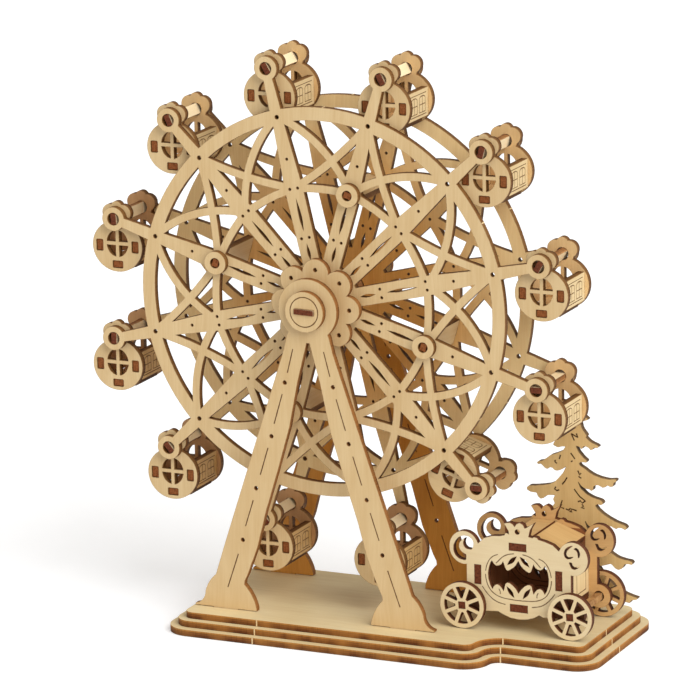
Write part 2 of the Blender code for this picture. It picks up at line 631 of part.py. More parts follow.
def make_coach(stand):
    coach = empty("coach", (COACH_X, 0.0, BOARD_TOP), parent=stand)
    mesh = ply_mesh("coach_side", [(0.0, PLY, coach_side_paint())])
    piece("coach_near_side", mesh, coach, (0.0, -COACH_PLATE_OUTER, 0.0))
    piece("coach_far_side", mesh, coach, (0.0, COACH_PLATE_INNER, 0.0), tone=0.95)

    span = COACH_PLATE_INNER - SEAT_GAP
    floor = [(-COACH_WALL_X, COACH_FLOOR_Z), (COACH_WALL_X, COACH_FLOOR_Z)]
    outlines = [strip(floor, PLY)]
    for x in (-COACH_WALL_X, COACH_WALL_X):
        outlines.append(strip([(x, COACH_FLOOR_Z - PLY / 2), (x, COACH_WALL_TOP)], PLY))
    piece("coach_tub", ply_mesh("coach_tub", [(-span, span, wood_on(outlines))]), coach, tone=0.95)

    path = bow((COACH_ROOF_EDGE_X, COACH_ROOF_EDGE_Z), (COACH_ROOF_BEND_X, COACH_ROOF_TOP_Z), -COACH_ROOF_BOW, 3)
    path.append((COACH_ROOF_END_X, COACH_ROOF_TOP_Z))
    piece("coach_roof", ply_mesh("coach_roof", [(-span, span, wood_on([strip(path, PLY)]))]), coach)

    reach = COACH_WHEEL_INNER + PLY
    bar = box(-COACH_AXLE / 2, COACH_AXLE / 2, -COACH_AXLE / 2, COACH_AXLE / 2)
    wheel = wood_on([circle(0.0, 0.0, COACH_WHEEL_RADIUS, 24, pi / 24)])
    for i in range(COACH_WHEEL_WINDOWS):
        wheel += wood_off([coach_wheel_window(2 * pi * i / COACH_WHEEL_WINDOWS)])
    layers = [(-reach, -COACH_WHEEL_INNER, wheel), (-COACH_WHEEL_INNER, COACH_WHEEL_INNER, wood_on([bar])),
              (COACH_WHEEL_INNER, reach, wheel)]
    mesh = ply_mesh("coach_wheelset", layers)
    for name, x in (("coach_rear_wheelset", -COACH_HALF_WHEELBASE), ("coach_front_wheelset", COACH_HALF_WHEELBASE)):
        axle = empty(name + "_axle", (x, 0.0, COACH_AXLE_Z), parent=coach)
        piece(name, mesh, axle)


# Tree

def tree_outline():
    # Branch tips and the notches between them in millimetres, from the trunk's middle line and the board
    right = [(1.6, 112.7), (4.8, 104.5), (9.4, 100.0), (5.0, 98.6), (9.0, 92.4), (6.8, 91.0), (14.9, 86.6),
             (11.2, 84.5), (8.0, 86.3), (2.8, 85.6), (8.6, 78.4), (4.2, 77.2), (9.0, 73.8), (17.6, 70.8),
             (24.5, 70.1), (21.8, 66.3), (16.5, 67.0), (11.2, 64.2), (7.4, 66.4), (4.0, 67.2), (7.2, 62.4),
             (17.0, 57.8), (12.8, 55.6), (18.6, 51.4), (29.8, 46.1), (26.1, 45.0), (20.8, 46.6), (17.6, 43.9),
             (10.6, 44.6), (7.4, 47.6), (11.2, 41.3), (18.6, 33.8), (32.5, 27.9), (27.2, 24.2), (20.8, 26.3),
             (14.4, 24.4), (22.9, 14.6), (35.2, 10.3), (30.4, 7.1), (20.8, 9.0), (10.0, 7.4), (3.6, 9.0)]
    left = [(-3.6, 9.0), (-9.0, 7.6), (-16.6, 9.2), (-28.3, 7.2), (-25.0, 11.0), (-13.4, 19.6), (-10.0, 25.4),
            (-17.6, 22.6), (-28.3, 24.6), (-19.8, 29.4), (-9.0, 39.0), (-6.4, 46.0), (-13.4, 41.0),
            (-21.9, 41.8), (-15.0, 48.0), (-9.1, 54.6), (-10.2, 59.2), (-12.8, 58.6), (-16.6, 56.4),
            (-19.8, 59.4), (-23.8, 60.6), (-16.6, 64.2), (-9.6, 66.6), (-3.2, 74.6), (-8.0, 72.4),
            (-12.3, 72.6), (-18.7, 75.4), (-11.2, 80.0), (-4.4, 84.4), (-3.4, 87.4), (-10.2, 86.0),
            (-5.0, 91.5), (-3.0, 97.4), (-6.6, 98.6), (-2.4, 104.0)]
    unit = TREE_HEIGHT / 112.7
    return [(x * unit, z * unit) for x, z in right + left]


def make_tree(stand):
    tab = box(-TREE_TAB_WIDTH / 2, TREE_TAB_WIDTH / 2, -PLY + 2 * SEAT_GAP, 12 * MM)
    mesh = ply_mesh("pine_tree", [(0.0, PLY, wood_on([tree_outline(), tab]))])
    piece("pine_tree", mesh, stand, (TREE_X, TREE_FRONT, BOARD_TOP), tone=0.93)


clear_scene()
stand_marker = empty("stand", (0.0, 0.0, 0.0))
make_base(stand_marker)
make_legs(stand_marker)
make_wheel()
make_gondolas()
make_coach(stand_marker)
make_tree(stand_marker)
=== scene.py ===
import bpy
import bmesh
from math import atan2, cos, hypot, pi, radians, sin, sqrt
from mathutils import Matrix, Vector
from mathutils.geometry import delaunay_2d_cdt


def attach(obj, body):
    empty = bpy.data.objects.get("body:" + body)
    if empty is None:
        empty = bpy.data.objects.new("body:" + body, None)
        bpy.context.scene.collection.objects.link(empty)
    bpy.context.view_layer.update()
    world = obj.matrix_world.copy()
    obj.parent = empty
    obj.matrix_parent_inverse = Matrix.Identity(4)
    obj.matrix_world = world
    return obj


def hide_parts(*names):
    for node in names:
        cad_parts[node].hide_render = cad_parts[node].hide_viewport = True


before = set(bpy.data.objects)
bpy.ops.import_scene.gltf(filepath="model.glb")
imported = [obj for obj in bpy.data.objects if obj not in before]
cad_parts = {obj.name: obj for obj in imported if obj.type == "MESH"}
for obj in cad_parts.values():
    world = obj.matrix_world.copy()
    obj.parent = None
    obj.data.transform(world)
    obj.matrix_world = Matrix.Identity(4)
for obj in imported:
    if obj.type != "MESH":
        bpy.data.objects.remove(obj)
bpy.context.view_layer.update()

mm = 0.001
sheet = {"thickness": 3.4 * mm, "groove": 0.25 * mm, "halo": 0.45 * mm, "merge": 1e-7, "sharp": radians(32),
         "bend": 0.0005, "spike": 0.05, "narrowest": 0.45}
hub = {"height": 170.6 * mm, "turn": radians(-1.6)}
bridges = {"baseHalf": 0.32 * mm, "rimHalf": 0.3 * mm, "root": 0.5 * mm, "proud": 0.12 * mm, "sink": 0.1 * mm}
boardTop = 10.2 * mm


# outlines are lists of (x, z) points

def spanAngles(first, last, steps):
    return [first + (last - first) * i / steps for i in range(steps + 1)]


def ovalPoints(x, z, halfWidth, halfHeight, count):
    angles = [2 * pi * i / count for i in range(count)]
    return [(x + halfWidth * cos(a), z + halfHeight * sin(a)) for a in angles]


def ringPoints(x, z, radius, count):
    return ovalPoints(x, z, radius, radius, count)


def arcPoints(x, z, radius, first, last, steps):
    return [(x + radius * cos(a), z + radius * sin(a)) for a in spanAngles(first, last, steps)]


def boxPoints(left, right, low, high):
    return [(left, low), (right, low), (right, high), (left, high)]


def roundBox(left, right, low, high, corner, steps=3):
    points = []
    for x, z, start in ((right - corner, low + corner, -pi / 2), (right - corner, high - corner, 0.0),
                        (left + corner, high - corner, pi / 2), (left + corner, low + corner, pi)):
        points += arcPoints(x, z, corner, start, start + pi / 2, steps)
    return points


def insideOf(outline, x, z):
    found = False
    for (ax, az), (bx, bz) in zip(outline, outline[1:] + outline[:1]):
        if (az > z) != (bz > z) and x < ax + (z - az) / (bz - az) * (bx - ax):
            found = not found
    return found


def atAngle(radius, angle):
    return (radius * cos(angle), radius * sin(angle))


def turned(points, angle):
    return [(x * cos(angle) - z * sin(angle), x * sin(angle) + z * cos(angle)) for x, z in points]


def mirrored(points):
    return [(-x, z) for x, z in reversed(points)]


def inMm(points):
    return [(x * mm, z * mm) for x, z in points]


def bowPoints(start, end, rise, steps):  # a circular arc, raised to the left of its chord
    chord = hypot(end[0] - start[0], end[1] - start[1])
    along = ((end[0] - start[0]) / chord, (end[1] - start[1]) / chord)
    height = abs(rise)
    side = rise / height
    left = (-along[1] * side, along[0] * side)
    radius = (chord * chord / 4 + height * height) / (2 * height)
    half = atan2(chord / 2, radius - height)
    points = []
    for i in range(steps + 1):
        angle = -half + 2 * half * i / steps
        run = chord / 2 + radius * sin(angle)
        up = radius * cos(angle) - (radius - height)
        points.append((start[0] + along[0] * run + left[0] * up, start[1] + along[1] * run + left[1] * up))
    return points


def stripPoints(points, width):  # a strip along a middle line
    low, high = [], []
    for i, (x, z) in enumerate(points):
        (ax, az), (bx, bz) = points[max(i - 1, 0)], points[min(i + 1, len(points) - 1)]
        length = hypot(bx - ax, bz - az)
        nx, nz = (az - bz) / length * width / 2, (bx - ax) / length * width / 2
        low.append((x - nx, z - nz))
        high.append((x + nx, z + nz))
    return low + high[::-1]


def cornerCut(points, rounds=2, closed=True, share=0.25):  # softens a given outline
    for _ in range(rounds):
        fresh = [] if closed else [points[0]]
        pairs = zip(points, points[1:] + points[:1]) if closed else zip(points, points[1:])
        for a, b in pairs:
            for part in (share, 1 - share):
                fresh.append((a[0] * (1 - part) + b[0] * part, a[1] * (1 - part) + b[1] * part))
        points = fresh if closed else fresh + [points[-1]]
    return points


def smoothLine(points):
    return cornerCut(points, closed=False)


# plywood is painted outlines given depth, one layer behind another

def wood(*outlines):
    return [(True, outline) for outline in outlines]


def gap(*outlines):
    return [(False, outline) for outline in outlines]


def ply(front, back, paint, **looks):  # frontLook, backLook and wallLook name the material slots
    return {"front": front, "back": back, "paint": paint, **looks}


def allOver(look):
    return {"frontLook": look, "backLook": look, "wallLook": look}


def windsLeft(points):
    return sum(a[0] * b[1] - b[0] * a[1] for a, b in zip(points, points[1:] + points[:1])) > 0


def triangles(outlines, lines=()):
    points, loops, edges = [], [], []
    for outline in outlines:
        first = len(points)
        points += [Vector(p) for p in (outline if windsLeft(outline) else outline[::-1])]
        loops.append(list(range(first, len(points))))
    for line in lines:
        first = len(points)
        points += [Vector(p) for p in line]
        edges += [(first + i, first + (i + 1) % len(line)) for i in range(len(line))]
    verts, _, faces, _, _, origins = delaunay_2d_cdt(points, edges, loops, 1, sheet["merge"], True)
    return verts, [tuple(face) for face in faces], [set(origin) for origin in origins]


def rimEdges(faces):
    edges = set()
    for face in faces:
        edges.update(zip(face, face[1:] + face[:1]))
    return sorted((a, b) for a, b in edges if (b, a) not in edges)


def isCorner(before, here, after):
    first, second = (here - before).normalized(), (after - here).normalized()
    return abs(first.x * second.y - first.y * second.x) > sheet["bend"]


def joinedLoops(painted):  # outlines painted over each other become loops with the wood on their left
    verts, faces, marks = triangles([outline for _, outline in painted])
    kept = [face for face, mark in zip(faces, marks) if mark and painted[max(mark)][0]]
    following = dict(rimEdges(kept))
    loops = []
    while following:
        start, here = following.popitem()
        loop = [start]
        while here != start:
            loop.append(here)
            here = following.pop(here)
        corners = [verts[i] for i in loop]
        n = len(corners)
        corners = [corners[i] for i in range(n) if isCorner(corners[i - 1], corners[i], corners[(i + 1) % n])]
        loops.append([(c.x, c.y) for c in corners])
    return loops


def innerLine(loop, width):  # the loop moved into the wood, so that the scorched rim has vertices to fade to
    points = []
    n = len(loop)
    for i in range(n):
        before = Vector(loop[i]) - Vector(loop[i - 1])
        after = Vector(loop[(i + 1) % n]) - Vector(loop[i])
        before.normalize()
        after.normalize()
        normal = Vector((-(before.y + after.y), before.x + after.x))
        if normal.length < sheet["spike"]:
            continue
        normal.normalize()
        spread = max(normal.dot(Vector((-before.y, before.x))), sheet["narrowest"])
        points.append(tuple(Vector(loop[i]) + normal * (width / spread)))
    return points


def coveringLayers(marks, owners):  # the layers that have wood at each face
    covers = []
    for mark in marks:
        tally = {}
        for i in mark:
            index, count = owners[i]
            tally[index] = tally.get(index, 0) + count
        covers.append({index for index, count in tally.items() if count > 0})
    return covers


def meshFrom(bm, name):
    mesh = bpy.data.meshes.new(name)
    bm.to_mesh(mesh)
    bm.free()
    mesh.shade_smooth()
    mesh.set_sharp_from_angle(angle=sheet["sharp"])
    return mesh


def sheetMesh(name, layers):  # areas are parts of a layer's front with a look of their own
    outlines, owners, lines = [], [], []
    for index, layer in enumerate(layers):
        for loop in joinedLoops(layer["paint"]):
            outlines.append(loop)
            owners.append((index, 1 if windsLeft(loop) else -1))
            lines.append(innerLine(loop, sheet["halo"]))
        lines += [outline for outline, _ in layer.get("areas", ())]
    flat, faces, marks = triangles(outlines, [line for line in lines if len(line) > 2])
    covers = coveringLayers(marks, owners)
    bm = bmesh.new()
    burn = bm.verts.layers.float.new("burn")
    grain = bm.verts.layers.float_vector.new("grain")
    made = {}
    for index, layer in enumerate(layers):
        front, back = layer["front"], layer["back"]
        own = [(face, cover) for face, cover in zip(faces, covers) if index in cover]
        rim = rimEdges([face for face, _ in own])
        edge = {a for a, _ in rim} | {b for _, b in rim}

        def vertex(i, depth):
            key = (i, round(depth / sheet["merge"]))
            if key not in made:
                made[key] = bm.verts.new((flat[i].x, depth, flat[i].y))
                made[key][grain] = (flat[i].x, depth - layers[0]["front"], flat[i].y)
            if i in edge:
                made[key][burn] = 1.0
            return made[key]

        def addFace(corners, look):
            face = bm.faces.new([vertex(i, depth) for i, depth in corners])
            face.material_index = slots[look]

        for face, covered in own:
            if index - 1 not in covered:
                middle = sum((flat[i] for i in face), Vector((0.0, 0.0))) / len(face)
                look = layer.get("frontLook", "face")
                for outline, areaLook in layer.get("areas", ()):
                    look = areaLook if insideOf(outline, middle.x, middle.y) else look
                addFace([(i, front) for i in face], look)
            if index + 1 not in covered:
                addFace([(i, back) for i in reversed(face)], layer.get("backLook", "face"))
        for a, b in rim:
            addFace([(a, front), (a, back), (b, back), (b, front)], layer.get("wallLook", "cut"))
    return meshFrom(bm, name)


def plainSheet(paint, front=0.0, back="face"):
    return [ply(front, front + sheet["thickness"], paint, backLook=back)]


def engravedSheet(paint, marks, front=0.0, both=False, back="face", areas=()):
    # laser lines are shallow grooves in the front face, and in the back face too where both is set
    depth, end = sheet["groove"], front + sheet["thickness"]
    top = ply(front, front + depth, paint + gap(*marks), areas=areas)
    if not both:
        return [top, ply(front + depth, end, paint, frontLook="laser", backLook=back)]
    core = ply(front + depth, end - depth, paint, frontLook="laser", backLook="laser")
    return [top, core, ply(end - depth, end, paint + gap(*marks), backLook=back)]


# finishes: tones are red, green and blue up to 255, from light to dark

tones = {
    "plain": ((226, 199, 152), (208, 174, 122)), "board": ((230, 212, 168), (214, 190, 142)),
    # the far coach tone is painted shade: a darker, warmer copy of the coach tone for the far side plate and
    # far wheels
    "coach": ((236, 217, 178), (222, 198, 152)), "shadedFarCoach": ((222, 182, 126), (200, 154, 98)),
    # the rear leg tone is painted shade: darker and more orange than the plain birch, for the shade behind
    # the wheel
    "roof": ((212, 174, 116), (190, 148, 92)), "shadedRearLeg": ((223, 161, 76), (195, 131, 54)),
    # the rear wheel's core tone is painted shade, laid on the rear plate darker and warmer towards the hub
    "rearWheel": ((248, 220, 164), (230, 194, 136)), "hubShade": ((232, 176, 98), (206, 144, 68)),
    "tree": ((232, 200, 140), (211, 172, 112)), "panel": ((224, 200, 154), (208, 180, 130)),
    # the warm panel and dusk shell tones are painted shade: darker, warmer copies of the panel and shell
    # tones
    "panelShade": ((214, 176, 116), (198, 156, 94)), "shell": ((234, 200, 146), (214, 176, 122)),
    # the rod tone is painted light: a near-white birch so that the cabin rods look brightly lit
    "shellShade": ((208, 162, 114), (186, 140, 94)), "rod": ((250, 231, 192), (240, 214, 168)),
    # the dim rod tone is painted shade: a darker copy of the rod tone
    # the inside tone is painted shade: dark brown for the coach's inner faces and the roof's underside
    "rodShade": ((204, 154, 104), (182, 132, 84)), "inside": ((150, 96, 60), (124, 74, 42)),
    # the shade tone is painted shade: a dark brown disc on the near coach plate behind each wheel
    "shade": ((132, 84, 50), (104, 62, 34)), "laser": ((66, 38, 16), (62, 35, 11)),
    "line": ((112, 82, 40), (86, 58, 26)), "tab": ((122, 62, 34), (84, 38, 18)),
    "peg": ((160, 94, 48), (118, 64, 26)), "bridge": ((236, 208, 158), (226, 199, 152)),
    "scorch": ((112, 64, 24),), "glue": ((46, 22, 7),),
    # the lit cut tones are painted light: a lighter copy of the cut tones for the edges of the legs, rosettes
    # and hub caps
    "cut": ((140, 98, 48), (110, 70, 28), (62, 35, 11)), "lit": ((160, 108, 54), (130, 82, 36), (86, 50, 20)),
    "edge": ((190, 130, 60), (124, 70, 22), (62, 29, 7)), "deep": ((112, 62, 30), (86, 44, 17), (54, 24, 8)),
    "grey": ((126, 98, 62), (96, 70, 40), (56, 38, 20)),
    "rodCut": ((190, 138, 86), (150, 100, 54), (104, 62, 28)),
}


def linear(tone, shade=0):  # from display values to the renderer's own
    values = [v / 255 for v in tones[tone][shade]]
    return tuple(v / 12.92 if v <= 0.04045 else ((v + 0.055) / 1.055) ** 2.4 for v in values) + (1.0,)


class Nodes:  # short calls for building node trees
    def __init__(self, tree):
        self.tree = tree

    def add(self, kind, inputs=None, **settings):
        node = self.tree.nodes.new("ShaderNode" + kind)
        for key, value in settings.items():
            setattr(node, key, value)
        self.feed(node, inputs or {})
        return node

    def feed(self, node, inputs):  # links what is a socket and sets what is a value
        for key, value in inputs.items():
            if isinstance(value, bpy.types.NodeSocket):
                self.tree.links.new(value, node.inputs[key])
            else:
                node.inputs[key].default_value = value

    def math(self, operation, a, b=0.5, clamp=False):
        return self.add("Math", {0: a, 1: b}, operation=operation, use_clamp=clamp).outputs[0]

    def mix(self, factor, a, b):
        return self.add("Mix", {0: factor, 6: a, 7: b}, data_type="RGBA").outputs[2]

    def range(self, value, low, high, newLow=0.0, newHigh=1.0):
        return self.add("MapRange", {0: value, 1: low, 2: high, 3: newLow, 4: newHigh}).outputs[0]

    def noise(self, vector, scale, detail=2.0, rough=0.5):
        settings = {"Vector": vector, "Scale": scale, "Detail": detail, "Roughness": rough}
        return self.add("TexNoise", settings).outputs["Fac"]


def newGroup(name, inputs, outputs):
    tree = bpy.data.node_groups.new(name, "ShaderNodeTree")
    for label, kind in inputs.items():
        tree.interface.new_socket(name=label, in_out="INPUT", socket_type="NodeSocket" + kind)
    for label in outputs:
        tree.interface.new_socket(name=label, in_out="OUTPUT", socket_type="NodeSocketFloat")
    return Nodes(tree), tree.nodes.new("NodeGroupInput").outputs, tree.nodes.new("NodeGroupOutput")


def makeFibreGroup():  # fine fibres, wider bands and faint blotches, running along the vector's X
    inputs = {"Vector": "Vector", "Seed": "Float"}
    n, given, out = newGroup("birchFibres", inputs, ("Fibre", "Band", "Blotch"))
    seed = n.add("CombineXYZ", {axis: given["Seed"] for axis in range(3)})
    offset = n.add("VectorMath", {0: given["Vector"], 1: seed.outputs[0]}, operation="ADD").outputs[0]
    push = n.add("CombineXYZ", {2: n.math("MULTIPLY", n.noise(offset, 22.0, 1.0), 0.006)})
    bent = n.add("VectorMath", {0: offset, 1: push.outputs[0]}, operation="ADD").outputs[0]
    fine = n.add("Mapping", {"Vector": bent, "Scale": (0.035, 1.0, 1.0)}).outputs[0]
    wide = n.add("Mapping", {"Vector": bent, "Scale": (0.08, 1.0, 1.0)}).outputs[0]
    n.feed(out, {"Fibre": n.noise(fine, 1500.0, 3.0, 0.6), "Band": n.noise(wide, 260.0, 2.0, 0.55),
                 "Blotch": n.noise(offset, 34.0)})
    return n.tree


def makeRimGroup():  # how scorched a face is near its cut edges
    n, given, out = newGroup("scorchedRim", {"Vector": "Vector", "Burn": "Float"}, ("Mask",))
    ragged = n.range(n.noise(given["Vector"], 420.0), 0.3, 0.7, 0.0, 0.42)
    reach = n.math("SUBTRACT", given["Burn"], ragged)
    n.feed(out, {"Mask": n.math("MULTIPLY", n.range(reach, 0.25, 1.0), 0.85, clamp=True)})
    return n.tree


def makeCutGroup():  # plies, glue lines and laser streaks across a cut edge
    n, given, out = newGroup("cutPlies", {"Vector": "Vector"}, ("Depth", "Glue", "Streak", "Patch"))
    split = n.add("SeparateXYZ", {0: given["Vector"]}).outputs
    depth = n.math("FRACT", n.math("MULTIPLY", split[1], 1 / sheet["thickness"]))
    lines = []
    for place in (0.31, 0.66):
        off = n.math("ABSOLUTE", n.math("SUBTRACT", depth, place))
        lines.append(n.range(off, 0.0, 0.07, 1.0, 0.0))
    flat = n.add("CombineXYZ", {0: split[0], 2: split[2]}).outputs[0]
    n.feed(out, {"Depth": depth, "Glue": n.math("MAXIMUM", *lines), "Streak": n.noise(flat, 1300.0, 1.0),
                 "Patch": n.noise(given["Vector"], 75.0)})
    return n.tree


groups = {"fibres": makeFibreGroup(), "rim": makeRimGroup(), "cut": makeCutGroup()}


def newMaterial(name):
    material = bpy.data.materials.new(name)
    material.use_nodes = True
    shader = material.node_tree.nodes["Principled BSDF"]
    shader.inputs["Specular IOR Level"].default_value = 0.28
    return material, shader, Nodes(material.node_tree)


def dress(n, shader, color, roughness, height, strength, depth):
    bump = n.add("Bump", {"Strength": strength, "Distance": depth, "Height": height})
    n.feed(shader, {"Base Color": color, "Roughness": roughness, "Normal": bump.outputs[0]})


def useGroup(n, key, **inputs):
    return n.add("Group", inputs, node_tree=groups[key]).outputs


def grainVector(n, upright=False):
    grain = n.add("Attribute", attribute_name="grain").outputs["Vector"]
    if upright:
        return n.add("Mapping", {"Vector": grain, "Rotation": (0.0, pi / 2, 0.0)}).outputs[0]
    return grain


def faceMaterial(name, tone="plain", upright=False, rim=1.0, core=None):
    material, shader, n = newMaterial(name)
    vector = grainVector(n, upright)
    chance = n.add("ObjectInfo").outputs["Random"]
    fibres = useGroup(n, "fibres", Vector=vector, Seed=chance)
    fibre, blotch = fibres["Fibre"], fibres["Blotch"]
    weight = n.math("ADD", n.math("MULTIPLY", fibres["Band"], 0.5), n.math("MULTIPLY", fibre, 0.5))
    weight = n.math("ADD", weight, n.math("MULTIPLY", n.math("SUBTRACT", blotch, 0.5), 0.6))
    share = n.range(weight, 0.3, 0.85)
    color = n.mix(share, linear(tone), linear(tone, 1))
    color = n.mix(n.range(chance, 0.0, 1.0, 0.0, 0.18), color, linear(tone, 1))
    if core:  # painted shade: darker and warmer towards the middle of the wheel, with ragged limits
        reach = n.add("VectorMath", {0: grainVector(n)}, operation="LENGTH").outputs["Value"]
        ragged = n.math("ADD", reach, n.math("MULTIPLY", blotch, 0.03))
        color = n.mix(n.range(ragged, 0.055, 0.105), n.mix(share, linear(core), linear(core, 1)), color)
    burn = n.add("Attribute", attribute_name="burn").outputs["Fac"]
    mask = n.math("MULTIPLY", useGroup(n, "rim", Vector=vector, Burn=burn)["Mask"], rim)
    color = n.mix(mask, color, linear("scorch"))
    dress(n, shader, color, n.range(fibre, 0.3, 0.7, 0.5, 0.66), fibre, 0.22, 0.1 * mm)
    return material


def cutMaterial(name, tone, glue=0.6):
    material, shader, n = newMaterial(name)
    light, middle, dark = (linear(tone, shade) for shade in range(3))
    cut = useGroup(n, "cut", Vector=grainVector(n))
    depth, streak, seam = cut["Depth"], cut["Streak"], cut["Glue"]
    color = n.mix(n.range(depth, 0.0, 0.5), light, middle)
    color = n.mix(n.range(depth, 0.62, 1.0), color, dark)
    color = n.mix(n.math("MULTIPLY", seam, glue), color, dark)
    color = n.mix(n.range(streak, 0.45, 0.8, 0.0, 0.4), color, linear("glue"))
    color = n.mix(n.range(cut["Patch"], 0.42, 0.72, 0.0, 0.55), color, light)
    height = n.math("SUBTRACT", streak, n.math("MULTIPLY", seam, 0.6))
    dress(n, shader, color, n.range(streak, 0.3, 0.7, 0.6, 0.8), height, 0.4, 0.15 * mm)
    return material


def mottledMaterial(name, tone, scale, rough):
    material, shader, n = newMaterial(name)
    spots = n.noise(grainVector(n), scale, 3.0, 0.6)
    color = n.mix(n.range(spots, 0.35, 0.65), linear(tone), linear(tone, 1))
    dress(n, shader, color, n.range(spots, 0.3, 0.7, rough - 0.06, rough + 0.08), spots, 0.35, 0.1 * mm)
    return material


finish = {
    "face": faceMaterial("birchFaceAlong"),
    "upright": faceMaterial("birchFaceUpright", upright=True),
    "board": faceMaterial("boardFace", "board", rim=0.5),
    "coach": faceMaterial("coachFace", "coach", rim=0.8),
    "shadedFarCoach": faceMaterial("shadedFarCoachFace", "shadedFarCoach"),
    "roof": faceMaterial("roofFace", "roof"),
    "shadedRearLeg": faceMaterial("shadedRearLegFace", "shadedRearLeg", upright=True),
    "rearWheel": faceMaterial("rearWheelShadedFace", "rearWheel", upright=True, core="hubShade"),
    "tree": faceMaterial("treeFace", "tree", upright=True),
    "panel": faceMaterial("panelFace", "panel"),
    "panelShade": faceMaterial("shadedPanelFace", "panelShade"),
    "shell": faceMaterial("rearShellFace", "shell", upright=True),
    "shellShade": faceMaterial("shadedShellFace", "shellShade", upright=True),
    "rod": faceMaterial("rodPaintedLightFace", "rod"),
    "rodShade": faceMaterial("shadedRodFace", "rodShade"),
    "inside": faceMaterial("paintedTubShade", "inside"),
    "shade": faceMaterial("paintedShadeFace", "shade"),
    "cut": cutMaterial("scorchedCut", "cut"),
    "litCut": cutMaterial("paintedLightCut", "lit"),
    "edgeCut": cutMaterial("boardCut", "edge", 0.85),
    "deepCut": cutMaterial("darkCut", "deep"),
    "greyCut": cutMaterial("greyCut", "grey"),
    "rodCut": cutMaterial("rodCut", "rodCut"),
    "laser": mottledMaterial("laserLine", "laser", 500.0, 0.8),
    "line": mottledMaterial("fineLaserLine", "line", 500.0, 0.8),
    "tab": mottledMaterial("tabEndGrain", "tab", 900.0, 0.75),
    "peg": mottledMaterial("pegEndGrain", "peg", 900.0, 0.75),
    "bridge": mottledMaterial("bridgeStub", "bridge", 700.0, 0.7),
}
slots = {"face": 0, "cut": 1, "laser": 2, "tab": 3, "bridge": 4, "back": 5, "area": 6}
print("finishes ready")


def addPiece(name, mesh, body, location=(0, 0, 0), rotation=(0, 0, 0), nodes=(), **looks):
    piece = bpy.data.objects.new(name, mesh)
    bpy.context.scene.collection.objects.link(piece)
    piece.location = location
    piece.rotation_euler = rotation
    if not mesh.materials:
        # the area slot holds the painted shade tone unless a piece names another
        defaults = {"face": "upright", "area": "shade", "back": looks.get("face", "upright")}
        for key in slots:
            mesh.materials.append(finish[looks.get(key, defaults.get(key, key))])
    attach(piece, body)
    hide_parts(*nodes)


def joinedMesh(name, parts):  # parts are (mesh, matrix), in the order of the material slots
    bm = bmesh.new()
    for mesh, matrix in parts:
        before = len(bm.verts)
        bm.from_mesh(mesh)
        bm.verts.ensure_lookup_table()
        bmesh.ops.transform(bm, matrix=matrix, verts=bm.verts[before:])
    return meshFrom(bm, name)


def at(x=0, y=0, z=0, turnZ=0.0, turnX=0.0):
    return Matrix.Translation((x, y, z)) @ Matrix.Rotation(turnZ, 4, "Z") @ Matrix.Rotation(turnX, 4, "X")


def slab(name, start, end, half, marks=()):  # a board seen edge-on, from start to end
    (ax, az), (bx, bz) = start, end
    length = hypot(bx - ax, bz - az)
    dx, dz = (bx - ax) / length, (bz - az) / length
    board, front = wood(boxPoints(0.0, length, -half, half)), -sheet["thickness"] / 2
    layers = engravedSheet(board, marks, front, back="back") if marks else plainSheet(board, front, "back")
    return sheetMesh(name, layers), Matrix(((dx, dz, 0, ax), (0, 0, 1, 0), (dz, -dx, 0, az), (0, 0, 0, 1)))


# base: three boards, each stepped out all round

base = {
    "left": -67.6 * mm, "right": 144.5 * mm, "front": -48.4 * mm, "rear": 43.0 * mm, "recess": -31.0 * mm,
    "stepX": 91.5 * mm, "leftCorner": 5.0 * mm, "rightCorner": 4.0 * mm, "rearCorner": 7.0 * mm,
    "grow": 4.2 * mm, "lift": 0.06 * mm, "inset": bridges["proud"], "frontStubs": (-24.6, -25.3, -26.0),
    "curveStubs": (104.0, 102.4, 102.0), "rightStubs": (-2.0, -1.5, 1.3), "rearStubs": (-20.0, 60.0),
}
feet = {"outer": 66.6 * mm, "inner": 32.0 * mm, "tab": 14.0 * mm, "play": 0.3 * mm, "spacing": 33.9 * mm}
tree = {"x": 115.6 * mm, "front": 27.5 * mm, "tab": 6.0 * mm, "tabTop": 12.0 * mm, "mark": 0.6 * mm}


def boardOutline(grow):
    b = base
    c, r, k = b["leftCorner"], b["rightCorner"], b["rearCorner"]
    deep = c + 2 * b["grow"]
    points = arcPoints(b["left"] + c, b["front"] + c, c + grow, pi, 1.5 * pi, 12)
    points += arcPoints(b["stepX"] - c, b["front"] + c, c + grow, 1.5 * pi, 2 * pi, 12)
    points += arcPoints(b["stepX"] + deep, b["recess"] - deep, deep - grow, pi, 0.5 * pi, 12)
    points += arcPoints(b["right"] - r, b["recess"] + r, r + grow, 1.5 * pi, 2 * pi, 10)
    points += arcPoints(b["right"] - k, b["rear"] - k, k + grow, 0.0, 0.5 * pi, 12)
    points += arcPoints(b["left"] + c, b["rear"] - c, c + grow, 0.5 * pi, pi, 10)
    return points


def stub(x, y, angle, top, low):  # a pale stub left where the board was snapped out of its sheet
    b = bridges
    shape = wood(boxPoints(-b["baseHalf"], b["baseHalf"], -b["root"], b["proud"]))
    mesh = sheetMesh("stub", [ply(low + b["sink"], top - b["sink"], shape, **allOver("bridge"))])
    # the outline's z is the way out of the edge, its depth is height
    return mesh, at(x, y, 0, angle) @ Matrix(((1, 0, 0, 0), (0, 0, 1, 0), (0, 1, 0, 0), (0, 0, 0, 1)))


def slotBox(x, half, low, high):
    play = feet["play"]
    return boxPoints(x - half - play, x + half + play, low - play, high + play)


